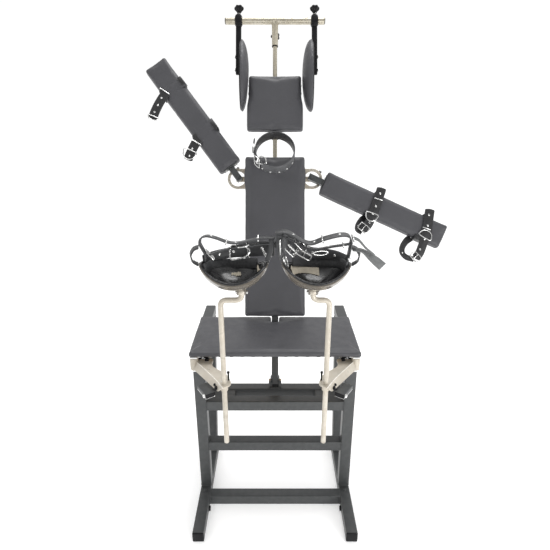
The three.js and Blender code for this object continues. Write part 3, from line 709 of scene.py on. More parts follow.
for name, body in (("back", "mast"), ("head", "head_support")):
    low, high = local_box(f"{name}_pad", MAST)
    # the back cushion hangs over the lower end of its board
    sag = 7.0 if name == "back" else 0.0
    outline = rectangle(low.x + s, high.x - s, low.z + s - sag, high.z - s)
    if name == "back":
        swelling = [
            (0, high.z - 128), (2, high.z - 112), (4.5, high.z - 90), (4.5, high.z - 62),
            (2, high.z - 42), (0, high.z - 30),
        ]
        right_edge = [(high.x - s + x, z) for x, z in swelling]
        left_edge = [(low.x + s - x, z) for x, z in swelling[::-1]]
        outline = outline[:2] + right_edge + outline[2:] + left_edge
    else:
        # wider below the side cushions
        waist = high.x - 6.5
        taper = [(high.x, high.z - 117), (high.x - 3, high.z - 100), (waist, high.z - 84)]
        right_edge = [(x - s, z) for x, z in taper] + [(waist - s, high.z - s)]
        left_edge = [(-x, z) for x, z in right_edge[::-1]]
        outline = outline[:2] + right_edge + left_edge
    pad = cushion(f"{name}_cushion", body, MAST, outline, high.y - 1.0, low.y + 3.0, 7.0)
    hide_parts(f"{name}_pad")

for side, sign in SIDES:
    low, high = local_box(f"{side}_arm_pad", ARM[side])
    right_handed = ARM[side].copy()
    if sign < 0:
        right_handed = right_handed @ Matrix.Diagonal((1, 1, -1, 1))
        low.z, high.z = -high.z, -low.z
    outline = rectangle(low.x + s, high.x - s, low.z + s, high.z - s)
    pad = cushion(
        f"{side}_arm_cushion", f"{side}_arm", right_handed, outline, high.y - 1.4, low.y + 3.0, 7.0
    )
    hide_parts(f"{side}_arm_pad")

    low, high = local_box(f"{side}_side_pad", MAST)
    flat = low.x if sign < 0 else high.x
    top = high.x if sign < 0 else low.x
    depth = abs(top - flat) - 2.5
    centre_y, centre_z = (low.y + high.y) / 2, (low.z + high.z) / 2
    half_y, half_z = (high.y - low.y) / 2 - 1.5, (high.z - low.z) / 2 - 1.5
    # local y of this frame points outwards, from the dome to the flat face
    dome_frame = MAST @ Matrix.Translation((0, centre_y, centre_z)) @ Matrix.Rotation(
        sign * -math.pi / 2, 4, "Z"
    )

    # the front of the pad is fuller than its rear, which lies beside the head cushion
    swell = 11.0 if sign < 0 else 2.0

    def dome(bm, depth=depth, half_y=half_y, half_z=half_z, flat=abs(flat), swell=swell, front=sign):
        """Half an oval with a rounded edge where it meets its flat face."""
        bmesh.ops.create_uvsphere(bm, u_segments=64, v_segments=40, radius=1)
        for v in bm.verts:
            x, y, z = v.co
            lift = max(0.0, -y) ** 0.85 if y < 0 else 0.0
            share = min(1.0, max(0.0, (front * x - 0.15) / 0.4))
            lift *= 1 + swell / depth * share * share * (3 - 2 * share)
            edge = 1 - 0.02 * (y > 0)
            v.co = Vector((x * half_y * edge, flat - 1.4 - lift * depth, z * half_z * edge))
        bmesh.ops.recalc_face_normals(bm, faces=bm.faces)

    outline = rectangle(-half_y, half_y, -half_z, half_z)
    rear, front = abs(flat) - 1.4, abs(flat) - depth
    pad = cushion(
        f"{side}_side_cushion", f"{side}_clamp", dome_frame, outline, rear, front, fill=0.6, shape=dome
    )
    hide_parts(f"{side}_side_pad")

finish_cushions()

# ---------- backs of the boards ----------


def staples(part, outline, y, inset=6.0, pitch=32.0, clear=0.0):
    """Wire staples that hold the hem of a cover on the rear of its board, clear of a notch."""
    x0, z0, x1, z1 = outline
    for start_x, start_z, span, upright in (
        (x0 + inset, z0, z1 - z0, True), (x1 - inset, z0, z1 - z0, True),
        (x0, z0 + inset, x1 - x0, False), (x0, z1 - inset, x1 - x0, False),
    ):
        count = int(span / pitch)
        for k in range(1, count):
            run = span * k / count
            x, z = (start_x, start_z + run) if upright else (start_x + run, start_z)
            if abs(x) < clear:
                continue
            dx, dz = (0.6, 5.0) if upright else (5.0, 0.6)
            part.box(x - dx, x + dx, y - 0.6, y + 0.7, z - dz, z + dz)


SCREW = [(4.4, 0), (4.2, 1.0), (3.0, 2.0), (1.5, 2.3), (1.4, 1.2), (0, 1.2)]
back_steel = Part(MAST)
back_screws = Part(MAST)
low, high = local_box("back_pad", MAST)
staples(back_screws, (low.x, low.z, high.x, high.z), high.y - 1.0)
tube_high = local_box("mast_tube", MAST)[1]
for z in (low.z + 70, (low.z + high.z) / 2 - 30, high.z - 110):
    for way in (-1, 1):
        wall = way * tube_high.x
        # angle bracket: one leg on the board, the other along the side of the mast
        a, b = sorted((wall + way * 0.3, wall + way * 34))
        back_steel.box(a, b, high.y + 0.2, high.y + 3.0, z - 17, z + 17)
        a, b = sorted((wall + way * 0.3, wall + way * 3.2))
        back_steel.box(a, b, high.y + 2.0, high.y + 24, z - 17, z + 17)
        for dz in (-9, 9):
            back_screws.lathe(SCREW, pointing((wall + way * 23, high.y + 3.0, z + dz), (0, 1, 0)), 14)
        back_screws.lathe(BOLT_HEAD, pointing((wall + way * 3.2, high.y + 14, z), (way, 0, 0)), 6)
back_steel.build("back_brackets", "mast", charcoal, "charcoal_paint", bevel=0.7)
back_screws.build("back_screws", "mast", chrome, "bright_steel", smooth=30)

SADDLE_CENTRE = 9.8
head_steel = Part(MAST)
head_screws = Part(MAST)
low, high = local_box("head_pad", MAST)
staples(head_screws, (low.x, low.z, high.x, high.z), high.y - 1.0, 6.0, 28.0)
post_radius = local_box("head_post", MAST)[1].x
for z in (low.z + 45, high.z - 55):
    saddle = []
    for k in range(13):
        a = math.pi * k / 12
        rise = high.y + SADDLE_CENTRE + math.sin(a) * (post_radius + 1.0)
        saddle.append((math.cos(a) * (post_radius + 1.4), rise, z))
    foot = high.y + 1.4
    saddle = [(30, foot, z), (14, foot, z)] + saddle + [(-14, foot, z), (-30, foot, z)]
    head_steel.band(saddle, Z_AXIS, 22, 2.4)
    for x in (-22, 22):
        head_screws.lathe(SCREW, pointing((x, high.y + 2.6, z), (0, 1, 0)), 14)
# tapered socket below the cushion where the post passes
head_steel.lathe(
    [(8.9, -17), (9.6, -16), (12.0, -3), (13.6, -0.5), (13.6, 2), (8.9, 2.2)],
    pointing((0, 0, low.z), Z_AXIS), 24,
)
head_steel.build("head_saddles", "head_support", charcoal, "charcoal_paint", smooth=40)
head_screws.build("head_screws", "head_support", chrome, "bright_steel", smooth=30)

seat_staples = Part(SEAT)
low, high = local_box("seat_pad", SEAT)
staples(seat_staples, (low.x, low.z, high.x, high.z), high.y - 1.0, 6.0, 34.0, clear=26.0)
seat_staples.build("seat_staples", "frame", chrome, "bright_steel", smooth=30)

# ---------- mast top, post, T bar and clamps ----------

mast_top = Part(MAST)
half = tube_high.x
mast_top.box(-half - 1.6, half + 1.6, -half - 1.6, half + 1.6, tube_high.z - 22, tube_high.z + 3)
mast_top.lathe(
    [(12.0, 2.5), (12.0, 6), (10.6, 7.4), (9.0, 7.6)], pointing((0, 0, tube_high.z), Z_AXIS), 28
)
mast_top.build("mast_collar", "mast", plastic, "black_plastic", bevel=1.2)
keep(["head_post"], satin_bar, 0.5)

KNOB_RADIUS, KNOB_HEIGHT = 20, 27
KNOB = [
    (0, 0), (7.5, 0), (8.5, 1.5), (8.5, 4), (12, 8), (17, 12), (19.5, 16), (KNOB_RADIUS, 21),
    (18.5, 24.5), (14, 26.4), (6, KNOB_HEIGHT), (0, KNOB_HEIGHT),
]


def knob(node, radius, height, stud_radius, stud, at, direction, local, lobes=5):
    """Moulded hand knob on its threaded stud. The node, its body and its joint share one name."""
    place = pointing(at, direction)
    profile = [(r * radius / KNOB_RADIUS, stud + h * height / KNOB_HEIGHT) for r, h in KNOB]
    head = Part(local).lathe(profile, place, 60, lobes, 0.2)
    head.build(f"{node}_head", node, plastic, "black_plastic", smooth=50, replaces=(node,))
    length = stud + 2
    turns = [(stud_radius * (0.86 if k % 2 else 1.0), length * k / 14) for k in range(15)]
    bolt = Part(local).lathe([(0, 0)] + turns, place, 16)
    bolt.build(f"{node}_head_stud", node, chrome, "bright_steel", smooth=50)


def knob_place(node, local, axis, way=1):
    """Middle of a knob's stud end and the knob's radius and length, in a local frame."""
    low, high = local_box(node, local)
    middle = (low + high) / 2
    middle[axis] = low[axis] if way > 0 else high[axis]
    others = [k for k in range(3) if k != axis]
    return middle, (high[others[0]] - low[others[0]]) / 2, high[axis] - low[axis]


STUD_LENGTH = 9
for node in ("mast_lock_knob", "stem_knob"):
    at, radius, length = knob_place(node, MAST, 1)
    knob(node, radius, length - STUD_LENGTH, 3.5, STUD_LENGTH, at, Y_AXIS, MAST)

BAR_BELOW_CLAMP_TOP = 25
low, high = local_box("t_bar", MAST)
bar_z = local_box("left_clamp_arm", MAST)[1].z - BAR_BELOW_CLAMP_TOP
bar_radius = high.z - bar_z
bar = Part(MAST)
end = high.x
profile = [
    (bar_radius - 2, 1.0), (bar_radius - 0.8, 0), (bar_radius, 0.8), (bar_radius, 2 * end - 0.8),
    (bar_radius - 0.8, 2 * end), (bar_radius - 2, 2 * end - 1),
]
bar.lathe(profile, pointing((-end, 0, bar_z), X_AXIS), 40)
stem_radius = 12.0
bar.lathe(
    [
        (8.9, low.z - bar_z), (
            stem_radius - 0.8, low.z - bar_z
        ), (stem_radius, low.z - bar_z + 0.8), (stem_radius, -24),
        (stem_radius + 0.3, -16), (stem_radius + 2.2, -11.5), (stem_radius + 3.4, -6), (stem_radius, -2),
    ],
    pointing((0, 0, bar_z), Z_AXIS), 36,
)
bar.build("t_bar_tube", "t_bar", satin_bar, "beige_paint", smooth=40, replaces=("t_bar",))
bar_caps = Part(MAST)
for way in (-1, 1):
    cap = [
        (0, -2), (bar_radius - 1.6, -2), (bar_radius - 1.0, 0.2), (bar_radius - 1.0, 1.6),
        (bar_radius - 3.2, 3.0), (0, 3.3),
    ]
    bar_caps.lathe(cap, pointing((way * end, 0, bar_z), (way, 0, 0)), 36)
bar_caps.lathe(
    [(8.8, -2.4), (11.6, -2.4), (11.9, -1.8), (11.9, 0.2), (8.8, 0.3)], pointing((0, 0, low.z), Z_AXIS),
    30,
)
bar_caps.build("t_bar_caps", "t_bar", plastic, "black_plastic", smooth=40)

SIDE_BOLT_HEIGHTS = (1246.4, 1194.5)
for side, sign in SIDES:
    body = f"{side}_clamp"
    low, high = local_box(f"{side}_clamp_arm", MAST)
    x = (low.x + high.x) / 2
    part = Part(MAST)
    # moulded housing round the bar, narrowing into the arm, as stacked rounded sections
    sections = [
        (26.0, 4.5, 4.5), (25.2, 7.5, 7.5), (20.0, 9.5, 10.5), (15.5, 12.6, 18.5), (9.0, 13.4, 19.6),
        (-9.0, 13.4, 19.6), (-15.0, 12.8, 17.5), (-19.5, 11.2, 11.0), (-24.0, 10.7, 7.2),
        (low.z - bar_z + 3.0, 10.6, 6.0), (low.z - bar_z, 9.0, 4.6),
    ]
    rings = []
    for z, a, b in sections:
        loop = []
        for k in range(28):
            t = 2 * math.pi * k / 28
            c, d = math.cos(t), math.sin(t)
            wide, deep = (math.copysign(abs(value) ** 0.45, value) for value in (c, d))
            loop.append(Vector((x + a * wide, b * deep, bar_z + z)))
        rings.append(loop)
    part.rings(rings[::-1])
    # rim of the bore on both faces
    for way in (-1, 1):
        rim = [
            (bar_radius + 0.5, -2), (bar_radius + 3.4, -2), (bar_radius + 3.4, 0.8),
            (bar_radius + 0.5, 1.0),
        ]
        part.lathe(rim, pointing((x + way * 13.2, 0, bar_z), (way, 0, 0)), 32)
    # raised bosses where the two cushion bolts pass
    for z in SIDE_BOLT_HEIGHTS:
        boss = [(7.0, -3), (6.6, 1.4), (5.2, 2.2), (0, 2.3)]
        part.lathe(boss, pointing((x + sign * 10.5, 0, z), (sign, 0, 0)), 20)
    # moulded ribs across the flat arm
    for z in range(1215, 1360, 24):
        part.box(x - 6.5, x + 6.5, -6.9, 6.9, z - 0.8, z + 0.8)
    part.build(
        f"{side}_clamp_body", body, plastic, "black_plastic", bevel=0.5, replaces=(f"{side}_clamp_arm",)
    )

    steel = Part(MAST)
    pad_low, pad_high = local_box(f"{side}_side_pad", MAST)
    flat = pad_high.x if sign > 0 else pad_low.x
    for z in SIDE_BOLT_HEIGHTS:
        steel.lathe(
            [(3.4, 0), (5.6, 0.2), (5.6, 2.2), (3.0, 2.9), (0, 2.9)],
            pointing((x + sign * 12.6, 0, z), (sign, 0, 0)), 6,
        )
        steel.lathe([(3.0, -2), (3.0, 18)], pointing((flat - sign * 3, 0, z), (sign, 0, 0)), 12)
    steel.build(f"{side}_clamp_bolts", body, chrome, "bright_steel", smooth=35)
    plate = Part(MAST)
    half_y, half_z = (pad_high.y - pad_low.y) / 2 - 7, (pad_high.z - pad_low.z) / 2 - 8
    mid_y, mid_z = (pad_low.y + pad_high.y) / 2, (pad_low.z + pad_high.z) / 2
    rings = []
    for out_x, shrink in ((-2.0, 1.0), (0.3, 1.0), (1.1, 0.985)):
        a, b = half_y * shrink, half_z * shrink
        turns = [2 * math.pi * k / 56 for k in range(56)]
        x = flat + sign * out_x
        rings.append([Vector((x, mid_y + a * math.cos(t), mid_z + b * math.sin(t))) for t in turns])
    plate.rings(rings if sign > 0 else [ring[::-1] for ring in rings])
    plate.build(f"{side}_side_backing", body, plastic, "black_plastic", smooth=35)

    at, radius, length = knob_place(f"{side}_clamp_knob", MAST, 2)
    knob(f"{side}_clamp_knob", radius, length - 6, 3.5, 6, at, Z_AXIS, MAST, 6)

# ---------- shoulder: quadrants and arm stubs ----------

for side, sign in SIDES:
    low, high = local_box(f"{side}_quadrant", MAST)
    middle = (low + high) / 2
    outer = (high.x - low.x) / 2
    part = Part(MAST)
    thick = (high.y - low.y) / 2
    profile = [
        (outer - 10.5, -thick + 0.5), (outer - 10, -thick), (outer - 0.7, -thick), (outer, -thick + 0.7),
        (outer, thick - 0.7), (outer - 0.7, thick), (outer - 10, thick), (
            outer - 10.5, thick - 0.5
        ), (outer - 10.5, 0.5 - thick),
    ]
    part.lathe(profile, pointing(middle, (0, 1, 0)), 72, caps=False)
    # two tabs that carry the ring on the shoulder bar
    for z in (-outer + 6, outer - 6):
        a, b = sorted((sign * 100, middle.x - sign * 10))
        part.box(a, b, middle.y - thick + 0.4, middle.y + thick - 0.4, middle.z + z - 5, middle.z + z + 5)
    part.build(
        f"{side}_quadrant_ring", "mast", cream, "beige_paint", smooth=40, replaces=(f"{side}_quadrant",)
    )
    # small black discs on the face of the ring: painted shade where the pin holes are
    hole_shade_discs = Part(MAST)
    for k in range(9):
        t = math.radians(-70 + 20 * k)
        spot = middle + Vector(
            (sign * math.cos(t) * (outer - 5), -thick - 0.05, math.sin(t) * (outer - 5))
        )
        hole_shade_discs.lathe([(0, 0.3), (1.3, 0.3), (1.3, -0.4)], pointing(spot, (0, -1, 0)), 14)
    hole_shade_discs.build(f"{side}_quadrant_holes", "mast", hole_shade_paint, smooth=40)
    low, high = local_box(f"{side}_quadrant_knob", MAST)
    at = Vector(((low.x + high.x) / 2, low.y, (low.z + high.z) / 2))
    radius = (high.x - low.x) / 2
    knob(f"{side}_quadrant_knob", radius + 0.4, high.y - low.y - 2, 2.5, 2, at, Y_AXIS, MAST)

    arm_body = f"{side}_arm"
    keep([f"{side}_arm_stub"], charcoal, 1.4)
    pad_low, pad_high = local_box(f"{side}_arm_pad", ARM[side])
    end_plate = Part(ARM[side])
    end_plate.box(pad_low.x - 0.2, pad_low.x + 2.5, pad_low.y + 6, pad_high.y - 4, -30, 30)
    nut = [(9, 0), (9, 1.4), (5.2, 1.6), (5.2, 5.0), (4.2, 5.8), (0, 5.8)]
    end_plate.lathe(nut, pointing((0, -11.5, 0), (0, -1, 0)), 24)
    end_plate.build(f"{side}_arm_end_plate", arm_body, charcoal, "charcoal_paint", bevel=0.5)
    plate = Part(ARM[side])
    plate.box(
        pad_low.x + 12, pad_high.x - 12, pad_high.y - 2.2, pad_high.y - 0.2, pad_low.z + 12,
        pad_high.z - 12,
    )
    plate.build(f"{side}_arm_board", arm_body, ply, "plywood", bevel=0.6)
    steel = Part(ARM[side])
    staples(steel, (pad_low.x, pad_low.z, pad_high.x, pad_high.z), pad_high.y - 1.4, 6.0, 30.0)
    for z in (-20, 20):
        steel.lathe(SCREW, pointing((pad_low.x - 0.2, -4, z), (-1, 0, 0)), 14)
    steel.build(f"{side}_arm_fixings", arm_body, chrome, "bright_steel", smooth=30)

# ---------- straps of the arm boards ----------

# places along the arm and across it, measured from the arm's pivot and middle line
STRAPS = {
    "left": (
        {
            "x": 428, "lap": [(428, -50), (424, -5), (419, 50)], "bar": [(449, -40), (408, -25)],
            "tab": [(421, -34), (412, -60), (400, -86), (385, -112), (368, -136)],
            "rivets": [(415, -58), (400, -85), (386, -111)], "ring": ((375, -124), (-0.5, -0.86), 14, 36),
        },
        {
            "x": 212, "lap": [(200, -50), (213, -2), (224, 50)], "bar": [(216, -59), (177, -43)],
            "tab": [(205, -38), (195, -60), (180, -88), (162, -118)],
            "rivets": [(186, -78), (170, -103)], "ring": ((184, -88), (-0.52, -0.85), 34, 46),
        },
    ),
    "right": (
        {
            "x": 260, "tab": [
                (257, 70), (260, 52), (263, 20), (266, -10), (267, -42)
            ], "bar": [(248, 22), (280, 27)],
            "rivets": [(261, 47), (266, -4), (267, -34)], "ring": ((266, -34), (0.1, -1), 30, 42),
            "drop": [(267, -42), (269, -70), (264, -97), (257, -112)], "eye": (269, -70),
            "loop": [
                (252, -50), (242, -70), (238, -94), (243, -112), (260, -115)
            ], "buckle": ((258, -98), (-0.25, -1)),
        },
        {
            "x": 462, "tab": [
                (455, 73), (461, 52), (472, 14), (480, -20), (484, -50)
            ], "bar": [(458, -2), (488, 2)],
            "rivets": [(461, 50), (473, 12), (483, -40)], "ring": ((480, -34), (0.1, 1), 28, 44),
            "drop": [(483, -42), (486, -70), (487, -96), (481, -121)], "eye": (483, -82),
            "loop": [(441, -49), (428, -71), (423, -99), (430, -121), (450, -130), (476, -126)],
            "buckle": ((479, -115), (-0.4, -1)),
        },
    ),
}


def keeper(part, sample, thick, wire=1.6):
    """Wire loop that holds two straps together."""
    point, side, normal, width, _run = sample
    a, b = width / 2 + 2.0, thick / 2 + 2.4
    loop = [
        (-a, -b * 0.6), (-a, b * 0.6), (-a * 0.9, b), (a * 0.9, b), (a, b * 0.6), (a, -b * 0.6),
        (a * 0.9, -b), (-a * 0.9, -b),
    ]
    part.tube([point + side * p + normal * q for p, q in loop], wire, True, 8, 2.5)


def at_run(samples, share):
    """The sample of a band at a share of its length."""
    wanted = samples[-1][4] * share
    return min(samples, key=lambda sample: abs(sample[4] - wanted))


def both_faces(fitting, sample, lift, radius):
    """The same rivet or eyelet on both faces of a band, at one of its samples."""
    point, _side, normal, _width, _run = sample
    for way in (1, -1):
        fitting(point + normal * lift * way, normal * way, radius)


for side, sign in SIDES:
    local, body = ARM[side], f"{side}_arm"
    pad_low, pad_high = local_box(f"{side}_arm_pad", local)
    front = pad_low.y - 2.0
    rear = pad_high.y + 2.0
    edge = pad_high.z + 1.8
    for number, strap in enumerate(STRAPS[side], 1):
        node = f"{side}_arm_strap_{number}"
        leather, steel, sewing = Part(local), Part(local), Part(local)
        x = strap["x"]
        # band behind the board and round both its edges
        turned = 5.0
        wrap = [
            (
                x, front - 0.6, edge - 14
            ), (x, front, edge - turned), (x, front + turned, edge), (x, rear - turned, edge),
            (x, rear, edge - turned), (x, rear, 0), (x, rear, turned - edge), (x, rear - turned, -edge),
            (x, front + turned, -edge), (x, front, turned - edge), (x, front - 0.6, 14 - edge),
        ]
        band = leather.band(wrap, X_AXIS, 34, 3.2)
        sewing.stitches(band, 1.7)
        for z in (-22, 22):
            steel.lathe(SCREW, pointing((x, rear + 1.4, z), (0, 1, 0)), 14)
        y = front - 3.2
        if "lap" in strap:
            # sleeve of cover material that the strap runs through on the front of the board
            lap = Part(local)
            near = front + 2.6
            flat = [(a, near if abs(b) < 45 else front + 2.0, b) for a, b in strap["lap"]]
            flat = [(flat[0][0], front + 6, -edge)] + [(flat[0][0], near, 5 - edge)] + flat[1:-1]
            flat += [
                (strap["lap"][-1][0], near - 1.0, edge - 5), (strap["lap"][-1][0], front + 8, edge + 1.4)
            ]
            lap.band(flat, X_AXIS, [30] + [34] * (len(flat) - 2) + [38], 1.8)
            lap.build(f"{node}_sleeve", body, cloth, "upholstery", smooth=60)
        leather_tab = [(a, y if b > -edge + 4 else y + 2, b) for a, b in strap["tab"]]
        tips = (0, 5) if side == "left" else (4, 10)
        tab = leather.band(leather_tab, X_AXIS, 36, 3.2, tips=tips)
        sewing.stitches(tab, 1.6, faces=(1, -1))
        for spot in strap["rivets"]:
            steel.rivet((spot[0], y - 1.2, spot[1]), (0, -1, 0), 4.0)
            steel.rivet((spot[0], y + 2.0 if abs(spot[1]) > edge else y, spot[1]), (0, 1, 0), 3.0)
        (ax, az), (bx, bz) = strap["bar"]
        steel.tube(
            [(ax, y - 1.0, az), ((ax + bx) / 2, y - 2.6, (az + bz) / 2), (bx, y - 1.0, bz)], 2.1, False,
            12, 4.0,
        )
        (rx, rz), (dx, dz), length, width = strap["ring"]
        along = Vector((dx, 0.02, dz))
        steel.ring((rx, y - 2.0, rz), along, along.cross(Y_AXIS), length, width, 2.1)
        if "drop" in strap:
            drop = [(a, y + 1.0 + 0.012 * (abs(b) - 42), b) for a, b in strap["drop"]]
            samples = leather.band(drop, X_AXIS, 33, 3.2, tips=(0, 8))
            sewing.stitches(samples, 1.6, faces=(1, -1))
            ex, ez = strap["eye"]
            steel.eyelet((ex, y - 0.6, ez), (0, -1, 0))
            loop = strap["loop"]
            depth = [6, -6, -14, -22, -26, -28][: len(loop)]
            points = [(a, d, b) for (a, b), d in zip(loop, depth)]
            sides = [
                Vector((1, 0.1, 0)), Vector((0.9, 0.4, 0.1)), Vector((0.85, 0.5, 0.25)),
                Vector((0.6, 0.5, 0.6)),
            ]
            sides += [Vector((0.25, 0.5, 0.85))] * (len(loop) - 4)
            samples = leather.band(points, sides, 27, 3.2)
            sewing.stitches(samples, 1.6, faces=(1, -1))
            both_faces(steel.rivet, at_run(samples, 0.62), 1.6, 3.6)
            (qx, qz), (ux, uz) = strap["buckle"]
            way = Vector((ux, 0, uz)).normalized()
            steel.buckle((qx, y - 1.5, qz), way, way.cross(Y_AXIS), 26, 38, 1.9)
        leather.build(f"{node}_leather", body, strap_hide, "black_leather", smooth=50, replaces=(node,))
        steel.build(f"{node}_metal", body, chrome, "bright_steel", smooth=50)
        sewing.build(f"{node}_thread", body, thread, smooth=60)

# ---------- neck collar ----------

low, high = local_box("neck_collar", MAST)
middle = (low + high) / 2
COLLAR_LEAN = math.radians(59.3)
in_plane = Vector((0, math.cos(COLLAR_LEAN), math.sin(COLLAR_LEAN)))
ring_axis = Vector((0, -math.sin(COLLAR_LEAN), math.cos(COLLAR_LEAN)))
half_x = high.x - 2.0
half_v = 94.0


def round_collar(angle, grow=0.0):
    """Point on the collar; angle 0 is its front, positive angles go to the right."""
    return middle + X_AXIS * (half_x + grow) * math.sin(angle) - in_plane * (half_v + grow) * math.cos(angle)


outer, inner, steel, sewing = Part(MAST), Part(MAST), Part(MAST), Part(MAST)
angles = [math.radians(15 * k) for k in range(24)]
loop = outer.band([round_collar(a, 0.8) for a in angles], ring_axis, 35, 2.2, closed=True)
inner.band([round_collar(a, -1.3) for a in angles], ring_axis, 33.5, 1.8, closed=True)
sewing.stitches(loop, -1.3, 3.4)
for degrees in (-84, -38, -13, 12, 36, 60):
    spot = round_collar(math.radians(degrees), 1.9)
    outwards = (spot - middle).normalized()
    steel.rivet(spot - ring_axis * 11, outwards, 3.6)
    steel.rivet(round_collar(math.radians(degrees), -2.2) - ring_axis * 11, -outwards, 2.6)
spot = round_collar(math.radians(-58), 4.5)
outwards = (spot - middle).normalized()
steel.buckle(spot, ring_axis.cross(outwards), ring_axis, 30, 42, 2.1)
tail = [
    round_collar(math.radians(d), g)
    for d, g in ((-44, 3.4), (-62, 3.4), (-80, 4.0), (-98, 8.0), (-114, 15.0), (-127, 24.0))
]
tail_run = inner.band(tail, ring_axis, 24, 2.6, tips=(0, 13))
sewing.stitches(tail_run, 1.4, faces=(1, -1))
at = at_run(tail_run, 0.62)
keeper(steel, at, 3.0, 1.9)
steel.buckle(at[0] + at[2] * 1.0, ring_axis.cross(at[2]), ring_axis, 34, 33, 1.9)
for share in (0.2, 0.42, 0.8):
    both_faces(steel.eyelet, at_run(tail_run, share), 1.0, 3.2)
ring_at = round_collar(math.radians(-40), 3.4)
steel.ring(ring_at + ring_axis * 13, Vector((0.1, -0.3, 1)), X_AXIS, 26, 30, 2.1)
collar_hide = hide("collar_leather", (0.075, 0.076, 0.08), 0.45, 420.0, 0.0003, 0.6)
outer.build("collar_outside", "mast", collar_hide, "black_leather", smooth=60, replaces=("neck_collar",))
inner.build("collar_inside", "mast", strap_hide, "black_leather", smooth=60)
steel.build("collar_metal", "mast", chrome, "bright_steel", smooth=50)
sewing.build("collar_thread", "mast", thread, smooth=60)
# strip behind the post and loop round it, which hold the collar to the top of the mast
hanger = Part(MAST)
hook = middle + in_plane * half_v
hoop = [
    (0, hook.y, hook.z), (-13, -9, hook.z), (-12, 8, hook.z), (0, 13.5, hook.z), (12, 8, hook.z),
    (13, -9, hook.z),
]
hanger.band(hoop, Z_AXIS, 11, 2.0, closed=True)
hanger.band([(0, 15.8, hook.z + 6), (0, 15.8, 880), (0, 15.6, 822)], X_AXIS, 13, 2.2)
hanger.build("collar_hanger", "mast", strap_hide, "black_leather", smooth=60)

# ---------- leg brackets and rods ----------


def curve(points, step=7.0):
    """Smooth outline through points in a plane."""
    return [(p.x, p.y) for _, _, p in resample([(x, y, 0) for x, y in points], step)]


def filleted(points, radius):
    """Straight runs joined by round bends."""
    points = [Vector(p) for p in points]
    path = [points[0]]
    for a, b, c in zip(points, points[1:], points[2:]):
        r = min(radius, (b - a).length * 0.45, (c - b).length * 0.9)
        start, end = b + (a - b).normalized() * r, b + (c - b).normalized() * r
        for k in range(9):
            t = k / 8
            path.append(start * (1 - t) ** 2 + b * 2 * t * (1 - t) + end * t * t)
    return path + [points[-1]]


